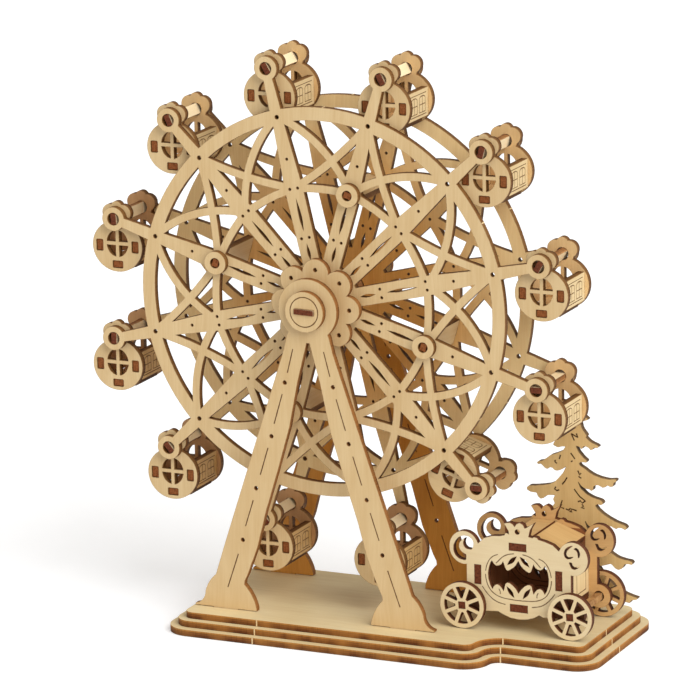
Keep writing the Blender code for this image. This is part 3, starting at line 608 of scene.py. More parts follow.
def makeBase():
    b, t = base, sheet["thickness"]
    middle = (feet["outer"] + feet["inner"]) / 2
    holes = [slotBox(x, feet["tab"] / 2, y - t / 2, y + t / 2)
             for y in (-feet["spacing"], feet["spacing"]) for x in (-middle, middle)]
    holes.append(slotBox(tree["x"], tree["tab"] / 2, tree["front"], tree["front"] + t))
    deep = b["leftCorner"] + 2 * b["grow"]
    for level, word in enumerate(("bottom", "middle", "top")):
        name = "base_board_" + word
        edge = b["grow"] * (2 - level) - b["inset"]
        low, top = level * t + (b["lift"] if level else 0.0), (level + 1) * t
        paint = wood(boardOutline(edge)) + (gap(*holes) if word == "top" else [])
        x, radius = b["curveStubs"][level] * mm, deep - edge
        away = b["stepX"] + deep - x
        places = [(b["frontStubs"][level] * mm, b["front"] - edge, pi),
                  (x, b["recess"] - deep + sqrt(radius ** 2 - away ** 2), pi + away / radius),
                  (b["right"] + edge, b["rightStubs"][level] * mm, -pi / 2)]
        places += [(rearX * mm, b["rear"] + edge, 0.0) for rearX in b["rearStubs"]]
        parts = [(sheetMesh(name, [ply(-top, -low, paint)]), at(turnX=-pi / 2))]
        parts += [stub(*place, top, low) for place in places]
        addPiece("base" + word.capitalize() + "Board", joinedMesh(name, parts), "stand", nodes=(name,),
                 face="board", cut="edgeCut")


makeBase()
print("base ready")


# legs: one sheet in front and one behind

leg = {"head": 16.0 * mm, "hole": 8.1 * mm, "dot": 1.1 * mm, "dash": 0.42 * mm, "tabTop": 4.0 * mm}


def legOutline():  # the right leg, in millimetres from the hub
    floor = -160.1
    outer = [(10.0, -9.5), (11.6, -13.5), (13.5, -21.3), (49.8, -128.0), (54.6, -142.7)]
    outer += bowPoints((54.6, -142.7), (60.8, -152.2), 0.9, 6)[1:]
    outer += bowPoints((60.8, -152.2), (66.6, -159.2), -1.7, 8)[1:]
    sole = [(66.6, floor), (32.0, floor)]
    heel = bowPoints((32.0, -158.6), (38.6, -146.6), 1.0, 8)
    inner = [(38.4, -144.6), (36.6, -141.0), (30.7, -126.0), (25.5, -106.7), (18.6, -85.3), (11.3, -61.2),
             (6.3, -37.3), (1.7, -20.2), (0.9, -16.8)]
    return inMm(outer + sole + heel + inner + [(0.0, -16.8), (0.0, 0.0)])


def legMarks():
    dashes = [((8.5, -20.5), (11.7, -32.9)), ((14.9, -44.3), (19.7, -60.1)), ((23.5, -73.1), (28.1, -87.5)),
              ((32.5, -101.5), (37.1, -115.4)), ((41.6, -130.7), (48.0, -148.9))]
    marks = [stripPoints(inMm([(s * ax, az), (s * bx, bz)]), leg["dash"])
             for (ax, az), (bx, bz) in dashes for s in (1, -1)]
    dots = [ringPoints(s * x * mm, z * mm, leg["dot"], 14)
            for x, z in ((13.3, -38.2), (21.4, -66.8), (30.7, -94.9), (38.8, -122.9)) for s in (-1, 1)]
    return marks, dots


def makeLegs():
    t, right = sheet["thickness"], legOutline()
    marks, dots = legMarks()
    middle, half, floor = (feet["outer"] + feet["inner"]) / 2, feet["tab"] / 2, boardTop - hub["height"]
    tab = boxPoints(middle - half, middle + half, floor - t + 2 * feet["play"], floor + leg["tabTop"])
    solids = wood(right, mirrored(right), tab, mirrored(tab), ringPoints(0, 0, leg["head"], 72))
    # both legs' cut edges take the lighter lit cut tones, a painted light
    paint = solids + gap(ringPoints(0, 0, leg["hole"], 48), *dots)
    # the rear legs' front faces take the rear leg tone, a painted shade; their back faces stay plain birch
    for word, side, face in (("front", -1, "upright"), ("rear", 1, "shadedRearLeg")):
        node = word + "_leg_frame"
        mesh = sheetMesh(node, engravedSheet(paint, marks, -t / 2, both=True, back="back"))
        addPiece(word + "Legs", mesh, "stand", (0, side * feet["spacing"], hub["height"]), nodes=(node,),
                 face=face, back="upright", cut="litCut")


makeLegs()
print("legs ready")


# wheel

wheel = {
    "spokes": 12, "spacing": 17.68 * mm, "rim": 96.6 * mm, "rimWidth": 6.8 * mm, "rimDot": 1.15 * mm,
    "rimDotAt": 96.2 * mm, "spokeAtRim": 5.7 * mm, "spokeAtMiddle": 10.2 * mm, "spokeAtHub": 9.6 * mm,
    "middle": 59.5 * mm, "middleLap": 1.0 * mm, "hubLap": 3.0 * mm, "lattice": 4.0 * mm,
    "outwardBow": 5.8 * mm, "inwardBow": 1.9 * mm, "middleBow": 1.2 * mm, "slitWidth": 1.7 * mm,
    "outerSlit": (37.5 * mm, 54.5 * mm), "innerSlit": (22.5 * mm, 31.0 * mm), "centre": 21.5 * mm,
    "pivot": 121.1 * mm, "boss": 6.2 * mm, "arm": 4.5 * mm, "armRoot": 6.6 * mm, "hole": 3.3 * mm,
    "dot": 0.75 * mm, "dotAlone": 74.6 * mm, "dotPairs": (59.4 * mm, 33.9 * mm), "dotSpread": 2.2 * mm,
    "axleHole": 8.0 * mm, "tieEvery": 3, "tieSlot": 1.65 * mm, "tieSlotHigh": 2.1 * mm,
}
tie = {"cap": 6.0 * mm, "capHole": 2.65 * mm, "tenonWide": 3.2 * mm, "tenonHigh": 4.0 * mm,
       "board": 13.0 * mm, "sunk": 0.6 * mm}
rosette = {"lobes": 8, "lobeCentre": 17.2 * mm, "lobe": 7.1 * mm, "spacer": 14.0 * mm, "dot": 1.1 * mm,
           "dotCentre": 18.8 * mm}
cap = {"radius": 10.4 * mm, "ring": 7.6 * mm, "ringLine": 0.4 * mm, "tenonWide": 10.6 * mm,
       "tenonHigh": 2.7 * mm, "slotPlay": 0.2 * mm, "slotCorner": 0.4 * mm}
axle = {"radius": 7.4 * mm, "play": 0.3 * mm, "proud": 0.8 * mm}
step = 2 * pi / wheel["spokes"]
shaftEnd = feet["spacing"] + sheet["thickness"] / 2 + axle["play"]


def spokeAngle(index):
    return radians(75) - index * step


def leafSlit(inner, outer, width, angle, along=0.42, swell=0.62):
    middle = inner + (outer - inner) * along
    side = smoothLine([(inner, 0.0), (middle, -width * swell), (outer, 0.0)])
    return turned(side + [(x, -z) for x, z in reversed(side)][1:-1], angle)


def radialBar(inner, outer, innerWidth, outerWidth, angle):
    low, high = innerWidth / 2, outerWidth / 2
    return turned([(inner, -low), (outer, -high), (outer, high), (inner, low)], angle)


def wheelPaint():
    w = wheel
    bars = [ringPoints(0, 0, w["centre"], 60)]
    cuts = [ringPoints(0, 0, w["axleHole"], 40)]
    for index in range(w["spokes"]):
        angle, tied = spokeAngle(index), index % w["tieEvery"] == 0
        rim, middle, pivot = (atAngle(w[key], angle) for key in ("rim", "middle", "pivot"))
        outerEnd, innerEnd = w["middle"] - w["middleLap"], w["centre"] - w["hubLap"]
        bars.append(radialBar(outerEnd, w["rim"], w["spokeAtMiddle"], w["spokeAtRim"], angle))
        bars.append(radialBar(innerEnd, w["middle"], w["spokeAtHub"], w["spokeAtMiddle"], angle))
        for side in (-1, 1):
            beside = atAngle(w["middle"], angle + side * step)
            rise = -side * w["outwardBow"] if index % 2 else side * w["inwardBow"]
            bars.append(stripPoints(bowPoints(rim, beside, rise, 14 if index % 2 else 8), w["lattice"]))
        beside = atAngle(w["middle"], angle + step)
        bars.append(stripPoints(bowPoints(middle, beside, -w["middleBow"], 6), w["lattice"]))
        cuts += [leafSlit(*w[key], w["slitWidth"], angle) for key in ("outerSlit", "innerSlit")]
        if tied:
            bars.append(ringPoints(*middle, tie["cap"], 24))
            near, far, side = w["middle"] - w["tieSlot"], w["middle"] + w["tieSlot"], w["tieSlotHigh"]
            cuts.append(turned(boxPoints(near, far, -side, side), angle))
        bars.append(radialBar(w["rim"], w["pivot"], w["armRoot"], w["arm"], angle))
        bars.append(ringPoints(*pivot, w["boss"], 32))
        cuts.append(ringPoints(*pivot, w["hole"], 24))
        cuts.append(ringPoints(*atAngle(w["rimDotAt"], angle), w["rimDot"], 14))
        pairs = w["dotPairs"][1:] if tied else w["dotPairs"]
        spots = [(w["dotAlone"], 0.0)] + [(r, s * w["dotSpread"]) for r in pairs for s in (-1, 1)]
        cuts += [ringPoints(*spot, w["dot"], 10) for spot in turned(spots, angle)]
    paint = wood(ringPoints(0, 0, w["rim"] + w["rimWidth"] / 2, 144))
    paint += gap(ringPoints(0, 0, w["rim"] - w["rimWidth"] / 2, 144))
    return paint + wood(*bars) + gap(*cuts)


def onHub(name, mesh, y, node, flipped=False, **looks):
    turn = (0, hub["turn"], pi) if flipped else (0, -hub["turn"], 0)
    addPiece(name, mesh, "wheel", (0, y, hub["height"]), turn, (node,), **looks)


def makePlates():
    w, b, t = wheel, bridges, sheet["thickness"]
    parts = [(sheetMesh("wheelPlate", plainSheet(wheelPaint(), -t / 2, "back")), at())]
    edge = w["rim"] + w["rimWidth"] / 2
    shape = boxPoints(edge - b["root"], edge + b["proud"], -b["rimHalf"], b["rimHalf"])
    for index in range(0, w["spokes"], 2):
        paint = wood(turned(shape, spokeAngle(index) + step / 2))
        nub = ply(-t / 2 + b["sink"], t / 2 - b["sink"], paint, **allOver("bridge"))
        parts.append((sheetMesh("nub", [nub]), at()))
    mesh = joinedMesh("wheelPlate", parts)
    rearMesh = mesh.copy()
    onHub("frontWheelPlate", mesh, -w["spacing"], "front_wheel_plate")
    # the rear plate's front face is painted with shade, darker and warmer towards the hub
    onHub("rearWheelPlate", rearMesh, w["spacing"], "rear_wheel_plate", face="rearWheel", back="upright")


def makeRosettes():
    r, t = rosette, sheet["thickness"]
    angles = [pi / 2 + 2 * pi * i / r["lobes"] for i in range(r["lobes"])]
    lobes = [ringPoints(*atAngle(r["lobeCentre"], angle), r["lobe"], 40) for angle in angles]
    dots = [ringPoints(*atAngle(r["dotCentre"], angle), r["dot"], 12) for angle in angles]
    hole = ringPoints(0, 0, wheel["axleHole"], 40)
    shape = wood(*lobes, ringPoints(0, 0, r["lobeCentre"], 60)) + gap(hole, *dots)
    spacer = wood(ringPoints(0, 0, r["spacer"], 48)) + gap(hole)
    mesh = sheetMesh("rosette", [ply(-2 * t, -t, shape), ply(-t, 0.0, spacer)])
    seat = wheel["spacing"] + t / 2 + axle["play"]
    # the rosettes' cut edges take the lighter lit cut tones, a painted light
    onHub("frontRosette", mesh, -seat, "front_rosette", cut="litCut")
    onHub("rearRosette", mesh, seat, "rear_rosette", flipped=True)


def makeAxle():
    wide, high = cap["tenonWide"] / 2, cap["tenonHigh"] / 2
    tenonEnd = shaftEnd + axle["play"] + sheet["thickness"] + axle["proud"]
    tenon, shaft = wood(boxPoints(-wide, wide, -high, high)), wood(ringPoints(0, 0, axle["radius"], 48))
    mesh = sheetMesh("axle", [ply(-tenonEnd, -shaftEnd, tenon, wallLook="area", frontLook="tab"),
                              ply(-shaftEnd, shaftEnd, shaft, wallLook="back"),
                              ply(shaftEnd, tenonEnd, tenon, wallLook="area", backLook="tab")])
    # the axle's shaft walls take the darker rod copy and its tenon walls the near-white rod tone: painted
    # shade and painted light
    onHub("axle", mesh, 0, "wheel_axle", back="rodShade", area="rod")


def makeHubCaps():
    c, t = cap, sheet["thickness"]
    wide, high = c["tenonWide"] / 2 + c["slotPlay"], c["tenonHigh"] / 2 + c["slotPlay"]
    slot = gap(roundBox(-wide, wide, -high, high, c["slotCorner"]))
    disc, line = wood(ringPoints(0, 0, c["radius"], 64)), c["ringLine"] / 2
    ring = gap(ringPoints(0, 0, c["ring"] + line, 56)) + wood(ringPoints(0, 0, c["ring"] - line, 56))
    seam = -t / 2 + sheet["groove"]
    mesh = sheetMesh("hubCap", [ply(-t / 2, seam, disc + ring + slot),
                                ply(seam, t / 2, disc + slot, frontLook="laser")])
    middle = shaftEnd + axle["play"] + t / 2
    # the hub caps' cut edges take the lighter lit cut tones, a painted light
    onHub("frontHubCap", mesh, -middle, "front_hub_cap", cut="litCut", laser="line")
    onHub("rearHubCap", mesh, middle, "rear_hub_cap", flipped=True)


def makeTies():
    w, t, play = wheel, sheet["thickness"], axle["play"]
    inner, shoulder = w["spacing"] + t / 2 + play, w["spacing"] - t / 2 - play
    outer, wide, high = inner + t, tie["tenonWide"] / 2, tie["tenonHigh"] / 2
    end = outer - tie["sunk"]
    ring = wood(ringPoints(0, 0, tie["cap"], 36)) + gap(ringPoints(0, 0, tie["capHole"], 20))
    tenon = wood(boxPoints(-wide, wide, -high, high))
    parts = [slab("tieBoard", (0, -tie["board"] / 2), (0, tie["board"] / 2), shoulder)]
    for front, back in ((-end, -shoulder), (shoulder, end)):
        parts.append((sheetMesh("tieTenon", [ply(front, back, tenon, **allOver("tab"))]), at()))
    for front in (-outer, inner):
        parts.append((sheetMesh("tieCap", [ply(front, front + t, ring)]), at()))
    mesh = joinedMesh("crossTie", parts)
    for number in range(w["spokes"] // w["tieEvery"]):
        angle = spokeAngle(number * w["tieEvery"]) + hub["turn"]
        x, z = atAngle(w["middle"], angle)
        addPiece("crossTie%d" % (number + 1), mesh, "wheel", (x, 0, hub["height"] + z), (0, -angle, 0),
                 ("cross_tie_%d" % (number + 1),), tab="peg")


makePlates()
print("wheel plates ready")
makeRosettes()
makeAxle()
makeHubCaps()
makeTies()
print("wheel ready")


# gondolas

gondola = {
    "outer": 15.48 * mm, "drop": 14.9 * mm, "halfWidth": 14.1 * mm, "halfHeight": 13.4 * mm, "head": 6.1 * mm,
    "crown": (0.0, 5.4 * mm, 3.2 * mm), "cheek": (3.6 * mm, 2.5 * mm, 4.45 * mm), "hole": 3.3 * mm,
    "windowWide": 6.1 * mm, "windowHigh": 7.0 * mm, "windowDrop": 13.5 * mm, "uprightBar": 1.9 * mm,
    "crossBar": 1.9 * mm, "wallX": 10.1 * mm, "wallTop": -8.2 * mm, "wallLow": -22.6 * mm, "seam": 0.1 * mm,
    "floorDrop": 24.4 * mm, "floorHalf": 8.35 * mm, "tabHalf": 1.6 * mm, "tabLow": -17.6 * mm,
    "tabHigh": -12.2 * mm, "footHalf": 2.6 * mm, "footLow": -26.05 * mm, "footHigh": -22.85 * mm,
    "notchCorner": 0.6 * mm, "notchPlay": (0.35 * mm, 0.05 * mm), "tabPlay": (0.32 * mm, 0.02 * mm),
    "tabSink": (0.6 * mm, 0.2 * mm), "tabShort": 0.8 * mm, "mark": 0.3 * mm, "rodWide": 3.0 * mm,
    # the cabin numbers listed for the darker shells, which carry painted shade
    "rodHigh": 5.8 * mm, "rodShort": 0.2 * mm, "tilted": 5, "tilt": radians(108), "shadedCabins": (6, 7, 8, 9, 10),
    "rodTurns": (-28, 15, 30, 90, 90, -40, -43, -40, 0, -4, -25, -31),
}


def gondolaShape():
    g = gondola
    cheekX, cheekZ, cheek = g["cheek"]
    solids = [ovalPoints(0, -g["drop"], g["halfWidth"], g["halfHeight"], 64), ringPoints(0, 0, g["head"], 36),
              ringPoints(*g["crown"], 28)]
    solids += [ringPoints(s * cheekX, cheekZ, cheek, 36) for s in (-1, 1)]
    cuts = [ringPoints(0, 0, g["hole"], 28)]
    side, bar, wide, high = g["uprightBar"] / 2, g["crossBar"] / 2, g["windowWide"], g["windowHigh"]
    # the four panes of an oval window, one in each quarter
    for first, last, sx, sz in ((0.0, pi / 2, 1, 1), (pi / 2, pi, -1, 1), (pi, 1.5 * pi, -1, -1),
                                (1.5 * pi, 2 * pi, 1, -1)):
        arc = [(wide * cos(angle), high * sin(angle)) for angle in spanAngles(first, last, 40)]
        arc = [(x, z) for x, z in arc if sx * x > side and (z - sz * bar) * sz > 0]
        ends = [(sx * wide * sqrt(1 - (bar / high) ** 2), sz * bar),
                (sx * side, sz * high * sqrt(1 - (side / wide) ** 2))]
        ends = ends if sx == sz else ends[::-1]
        pane = [(sx * side, sz * bar), ends[0]] + arc + [ends[1]]
        cuts.append([(x, z - g["windowDrop"]) for x, z in pane])
    return solids, cuts


def gondolaNotches(play):  # slots for the tabs
    g, half = gondola, gondola["tabHalf"] + play
    spans = [(s * g["wallX"] - half, s * g["wallX"] + half, g["tabLow"], g["tabHigh"]) for s in (-1, 1)]
    spans.append((-g["footHalf"] - play, g["footHalf"] + play, g["footLow"], g["footHigh"]))
    return [roundBox(left, right, low - play, high + play, g["notchCorner"])
            for left, right, low, high in spans]


def tabEnds(notches, depth, front, play):  # the ends of the panels' tabs, a little inside their slots
    parts = []
    for notch in notches:
        (left, right), (low, high) = ((min(v) + play, max(v) - play) for v in zip(*notch))
        paint = wood(boxPoints(left, right, low, high))
        end = ply(front, front + depth, paint, frontLook="tab", backLook="tab")
        parts.append((sheetMesh("tabEnd", [end]), at()))
    return parts


def windowMarks():  # engraved twin windows between two rails, for a panel 23 mm wide
    paths = [[(-9.6, 5.0), (9.6, 5.0)], [(-9.6, -5.6), (9.6, -5.6)]]
    for x in (-4.9, 4.9):
        arch = [(x + 3.6 * cos(a * pi / 6), 2.4 + 1.4 * sin(a * pi / 6)) for a in range(1, 6)]
        border = [(x - 3.6, -4.4), (x + 3.6, -4.4), (x + 3.6, 2.4)] + arch + [(x - 3.6, 2.4)]
        paths += zip(border, border[1:] + border[:1])
        paths += [[(x, -4.2), (x, 3.4)], [(x - 3.4, -0.4), (x + 3.4, -0.4)]]
    return [stripPoints(inMm(path), gondola["mark"]) for path in paths]


def sidePanel(half, middle):
    low, high = gondola["wallLow"] - middle, gondola["wallTop"] - middle
    layers = engravedSheet(wood(boxPoints(-half, half, low, high)), windowMarks(), -sheet["thickness"] / 2)
    layers[0]["frontLook"] = "back"
    return sheetMesh("sidePanel", layers)


def gondolaMeshes():  # slots are wide open in front and tight behind
    g, t = gondola, sheet["thickness"]
    solids, cuts = gondolaShape()
    loose, tight = (gondolaNotches(play) for play in g["notchPlay"])
    plate = sheetMesh("gondolaFrontPlate", plainSheet(wood(*solids) + gap(*cuts, *loose)))
    rearPlate = sheetMesh("gondolaRearPlate", plainSheet(wood(*solids) + gap(*cuts, *tight)))
    looseTabs, tightTabs = (
        tabEnds(notches, t - g["tabShort"], start + sink, play) for notches, start, sink, play in
        zip((loose, tight), (-g["outer"], g["outer"] - t), g["tabSink"], g["tabPlay"]))
    front = joinedMesh("gondolaFront", [(plate, at(0, -g["outer"]))] + looseTabs)
    middle, half = (g["wallLow"] + g["wallTop"]) / 2, g["outer"] - t - g["seam"]
    panel = sidePanel(half, middle)
    floorShape = wood(boxPoints(-g["floorHalf"], g["floorHalf"], -half, half))
    floor = sheetMesh("gondolaFloor", [ply(g["floorDrop"] - t / 2, g["floorDrop"] + t / 2, floorShape)])
    parts = [(rearPlate, at(0, g["outer"] - t)), (panel, at(g["wallX"], 0, middle, pi / 2)),
             (panel, at(-g["wallX"], 0, middle, -pi / 2)), (floor, at(turnX=-pi / 2))]
    return front, joinedMesh("gondolaShell", parts + tightTabs)


def gondolaRod():
    g = gondola
    reach = wheel["spacing"] + sheet["thickness"] / 2 - g["rodShort"]
    paint = wood(boxPoints(-reach, reach, -g["rodHigh"] / 2, g["rodHigh"] / 2))
    bar = sheetMesh("gondolaBar", [ply(-g["rodWide"] / 2, g["rodWide"] / 2, paint)])
    mesh = joinedMesh("gondolaRod", [(bar, at(turnZ=pi / 2))])
    for face in mesh.polygons:
        if abs(face.normal.y) > 0.9:
            face.material_index = slots["tab"]
    return mesh


def makeGondolas():
    g = gondola
    frontMesh, rearMesh = gondolaMeshes()
    shadedShellMesh, rodMesh = rearMesh.copy(), gondolaRod()
    for number in range(1, wheel["spokes"] + 1):
        key, name = "gondola_%02d" % number, "gondola%02d" % number
        x, z = atAngle(wheel["pivot"], spokeAngle(number - 1) + hub["turn"])
        place = (x, 0, hub["height"] + z)
        turn = (0, g["tilt"] if number == g["tilted"] else 0, 0)
        rodTurn = (0, radians(g["rodTurns"][number - 1]), 0)
        addPiece(name + "Front", frontMesh, key, place, turn, (key + "_front_plate",), tab="peg")
        # cabins 6 to 10 get darker, warmer shells and panels: painted shade
        mesh, face, back = rearMesh, "shell", "panel"
        if number in g["shadedCabins"]:
            mesh, face, back = shadedShellMesh, "shellShade", "panelShade"
        addPiece(name + "Shell", mesh, key, place, turn, (key + "_rear_shell",), face=face, tab="peg",
                 laser="line", back=back)
        # the rods take the near-white rod tone, a painted light
        addPiece(name + "Rod", rodMesh, key, place, rodTurn, (key + "_rod",), face="rod", cut="rodCut")


makeGondolas()
print("gondolas ready")


# coach: two side plates with a tub and a roof between them, and four wheels

coach = {
    "x": 105.7 * mm, "plate": 19.28 * mm, "wheelIn": 20.08 * mm, "halfBase": 29.1 * mm, "axleZ": 12.2 * mm,
    "wheel": 11.9 * mm, "rim": 2.3 * mm, "hubRing": 3.7 * mm, "spoke": 1.9 * mm, "spokes": 8,
    "axle": 3.3 * mm, "seat": 3.7 * mm, "wheelTurn": radians(3), "axleShort": 0.4 * mm, "eye": 6.2 * mm,
    "eyeHole": 2.7 * mm, "shaded": 10.6 * mm, "scrollX": 29.3 * mm, "scrollZ": 41.2 * mm,
    "scrollWide": 8.0 * mm, "scrollHigh": 8.6 * mm, "crownHole": (-0.4 * mm, 52.2 * mm, 1.35 * mm),
    "wallX": 21.9 * mm, "wallTop": 35.5 * mm, "insideTop": 46.5 * mm, "floorZ": 12.4 * mm,
    "seam": 0.1 * mm, "mark": 0.34 * mm, "paneMark": 0.36 * mm, "tabPlay": 0.16 * mm,
    "tabSink": 0.3 * mm, "tabShort": 0.6 * mm,
}


def coachWindow():
    half = [(0.0, 37.2), (1.4, 34.8), (2.8, 33.3), (4.4, 32.2), (5.7, 31.6), (6.5, 31.9), (7.2, 33.2),
            (8.2, 36.3), (9.1, 34.7), (10.4, 33.8), (12.0, 33.6), (13.3, 34.5), (14.3, 36.1), (15.2, 34.6),
            (15.9, 32.4), (16.4, 29.3), (16.2, 26.3), (15.3, 23.2), (14.1, 21.2), (13.4, 22.6),
            (12.6, 23.5), (11.4, 23.9), (10.2, 23.4), (9.1, 22.3), (8.1, 20.7), (7.4, 23.2), (7.0, 24.7),
            (6.1, 25.3), (4.8, 25.2), (3.2, 24.2), (1.4, 22.4), (0.0, 20.2)]
    return inMm(half + [(-x, z) for x, z in half[-2:0:-1]])


def leafBetween(start, end, width, bulge=1.7):
    (ax, az), (bx, bz) = start, end
    length = hypot(bx - ax, bz - az)
    middleX, middleZ = (ax + bx) / 2, (az + bz) / 2
    nx, nz = (az - bz) / length * width / 2, (bx - ax) / length * width / 2
    one = smoothLine([start, (middleX + nx * bulge, middleZ + nz * bulge), end])
    other = smoothLine([end, (middleX - nx * bulge, middleZ - nz * bulge), start])
    return inMm(one + other[1:-1])


def coachSideShape():
    c = coach
    body = [(-28.0, 12.0), (-28.0, 32.5), (-25.5, 36.4), (-22.0, 43.8), (-18.5, 47.2), (-14.0, 48.8),
            (-9.6, 49.2), (-7.4, 49.8), (-6.6, 51.2), (-5.0, 50.6), (5.0, 50.3), (7.6, 49.9), (8.6, 50.5),
            (10.2, 50.2), (10.8, 49.3), (14.4, 48.6), (18.6, 47.2), (22.0, 44.4), (25.0, 38.0),
            (28.2, 33.0), (28.2, 12.0), (24.0, 9.6), (18.0, 9.4), (13.0, 9.2), (11.0, 10.1), (8.6, 8.6),
            (4.6, 7.2), (0.0, 6.7), (-4.6, 7.2), (-8.6, 8.6), (-11.0, 9.8), (-18.0, 9.4), (-24.0, 9.6)]
    crown = [(-4.6, 49.0), (-5.2, 52.4), (-7.5, 55.9), (-5.9, 56.4), (-4.3, 56.6), (-2.8, 55.9),
             (-1.8, 54.6), (-0.9, 56.1), (0.9, 57.0), (2.7, 56.2), (3.6, 54.4), (5.2, 55.2), (8.4, 57.4),
             (6.4, 53.8), (5.2, 49.0)]
    solids = [inMm(body), inMm(crown)]
    cuts = [coachWindow(), ringPoints(*c["crownHole"], 14)]
    for side in (-1, 1):
        axleX = side * c["halfBase"]
        solids.append(ovalPoints(side * c["scrollX"], c["scrollZ"], c["scrollWide"], c["scrollHigh"], 48))
        solids.append(ringPoints(axleX, c["axleZ"], c["eye"], 32))
        cuts.append(ringPoints(axleX, c["axleZ"], c["eyeHole"], 16))
        cuts.append(leafBetween((side * 0.8, 39.5), (side * 6.0, 34.5), 1.6))
        cuts.append(leafBetween((side * 2.3, 17.7), (side * 6.5, 23.5), 1.5))
    return solids, cuts


def coachSlots():
    boxes = ((-0.3, 44.2, 9.4, 4.0), (0.1, 12.4, 9.6, 4.0), (-22.0, 28.0, 3.7, 10.2), (21.7, 29.0, 3.7, 10.2))
    return [inMm(boxPoints(x - w / 2, x + w / 2, z - h / 2, z + h / 2)) for x, z, w, h in boxes]


def coachMarks():
    under = [(17.8, 28.6), (17.6, 26.2), (16.7, 23.0), (14.8, 20.0), (11.8, 18.0), (8.2, 17.0), (2.0, 16.6)]
    paths = [under + [(-x, z) for x, z in reversed(under)]]
    for side in (-1, 1):
        for path in ([(17.7, 30.4), (17.1, 33.4), (15.6, 36.5), (13.5, 38.5), (11.1, 39.4)],
                     [(2.4, 40.7), (5.2, 40.2), (7.8, 39.0), (9.6, 37.4), (11.0, 35.9), (12.0, 34.9)],
                     [(19.6, 22.0), (17.2, 18.8), (14.4, 16.2), (11.6, 14.6), (7.2, 13.8)],
                     [(10.6, 21.6), (9.9, 20.4), (9.9, 19.0)]):
            paths.append([(side * x, z) for x, z in path])
    return [stripPoints(smoothLine(inMm(path)), coach["mark"]) for path in paths]


def scrollCuts():  # the front scroll is three separate cuts, the rear scroll one hole round a thumb of wood
    front = [[(29.5, 48.2), (27.0, 47.5), (25.1, 45.9), (24.5, 43.9), (24.9, 41.9), (26.3, 40.9),
              (28.2, 41.3), (29.8, 42.4), (28.6, 42.4), (27.2, 42.0), (26.1, 42.6), (25.8, 43.8),
              (26.2, 45.2), (27.6, 46.6)],
             [(29.7, 46.5), (31.1, 47.4), (32.4, 46.4), (33.2, 44.5), (32.9, 42.6), (32.0, 42.0),
              (32.0, 43.2), (31.8, 44.8), (31.0, 46.0)],
             [(27.1, 39.4), (28.8, 39.4), (29.2, 37.8), (31.0, 37.3), (33.6, 38.6), (32.0, 36.7),
              (30.2, 35.9), (28.6, 36.2), (27.9, 37.6)]]
    rear = [(-28.3, 34.7), (-30.4, 34.7), (-32.4, 35.3), (-34.1, 36.7), (-35.1, 39.0), (-35.1, 41.8),
            (-33.9, 44.5), (-31.9, 46.5), (-29.4, 47.5), (-26.8, 47.3), (-24.9, 46.0), (-24.1, 44.0),
            (-24.4, 42.0), (-25.3, 40.4), (-28.2, 40.7), (-29.5, 42.0), (-29.8, 43.8), (-29.1, 45.8),
            (-30.6, 45.0), (-31.8, 43.5), (-32.2, 41.6), (-31.6, 39.8), (-30.0, 38.4), (-28.0, 37.7)]
    return [cornerCut(inMm(path), share=0.18) for path in front + [rear]]


def coachSideMesh(name, areas):
    c, t = coach, sheet["thickness"]
    solids, cuts = coachSideShape()
    notches = coachSlots()
    paint = wood(*solids) + gap(*cuts, *notches, *scrollCuts())
    side = sheetMesh(name, engravedSheet(paint, coachMarks(), back="back", areas=areas))
    return joinedMesh(name, [(side, at())] + tabEnds(notches, t - c["tabShort"], c["tabSink"], c["tabPlay"]))


def onCoach(name, mesh, node, y=0, **looks):
    addPiece(name, mesh, "stand", (coach["x"], y, boardTop), nodes=(node,), cut="deepCut", **looks)


def makeCoachSides():
    c, wheels = coach, [(s * coach["halfBase"], coach["axleZ"]) for s in (-1, 1)]
    # a painted shadow: a dark brown disc on the near plate behind each wheel
    shadeBehindWheels = [(ringPoints(*middle, c["shaded"], 40), "area") for middle in wheels]
    onCoach("coachNearSide", coachSideMesh("coachNearSide", shadeBehindWheels), "coach_near_side", -c["plate"],
            face="coach", laser="line")
    # inside the tub the far plate's face is painted dark brown, a painted shade
    tubShadeArea = [(boxPoints(-c["wallX"], c["wallX"], c["floorZ"], c["insideTop"]), "area")]
    # the far side plate's front face is painted in the darker far coach tone, a painted shade
    onCoach("coachFarSide", coachSideMesh("coachFarSide", tubShadeArea), "coach_far_side",
            c["plate"] - sheet["thickness"], face="shadedFarCoach", area="inside", back="coach")


def makeCoachBody():
    c, t = coach, sheet["thickness"]
    span = c["plate"] - t - c["seam"]
    low = c["floorZ"] + t / 2 + c["seam"] / 2
    pane = inMm([(4.0, -12.0), (19.0, -12.0), (19.0, 12.0), (4.0, 12.0)])
    marks = [stripPoints([pane[i], pane[(i + 1) % 4]], c["paneMark"]) for i in range(4)]
    marks.append(stripPoints(inMm([(4.2, 0.0), (18.8, 0.0)]), c["paneMark"]))
    parts = [slab("tubFloor", (c["wallX"] + t / 2, c["floorZ"]), (-c["wallX"] - t / 2, c["floorZ"]), span),
             slab("tubRear", (-c["wallX"], low), (-c["wallX"], c["wallTop"]), span),
             slab("tubFront", (c["wallX"], c["wallTop"]), (c["wallX"], low), span, marks)]
    # the tub's inner faces and the roof's underside are painted dark brown: painted shade
    onCoach("coachTub", joinedMesh("coachTub", parts), "coach_tub", face="panel", back="inside")
    parts = [slab("roofTop", *inMm([(-6.4, 47.7), (5.6, 47.7)]), span),
             slab("roofSlope", *inMm([(6.0, 47.5), (21.4, 41.8)]), span)]
    onCoach("coachRoof", joinedMesh("coachRoof", parts), "coach_roof", face="roof", back="inside")


def squarePoints(side):
    return boxPoints(-side / 2, side / 2, -side / 2, side / 2)


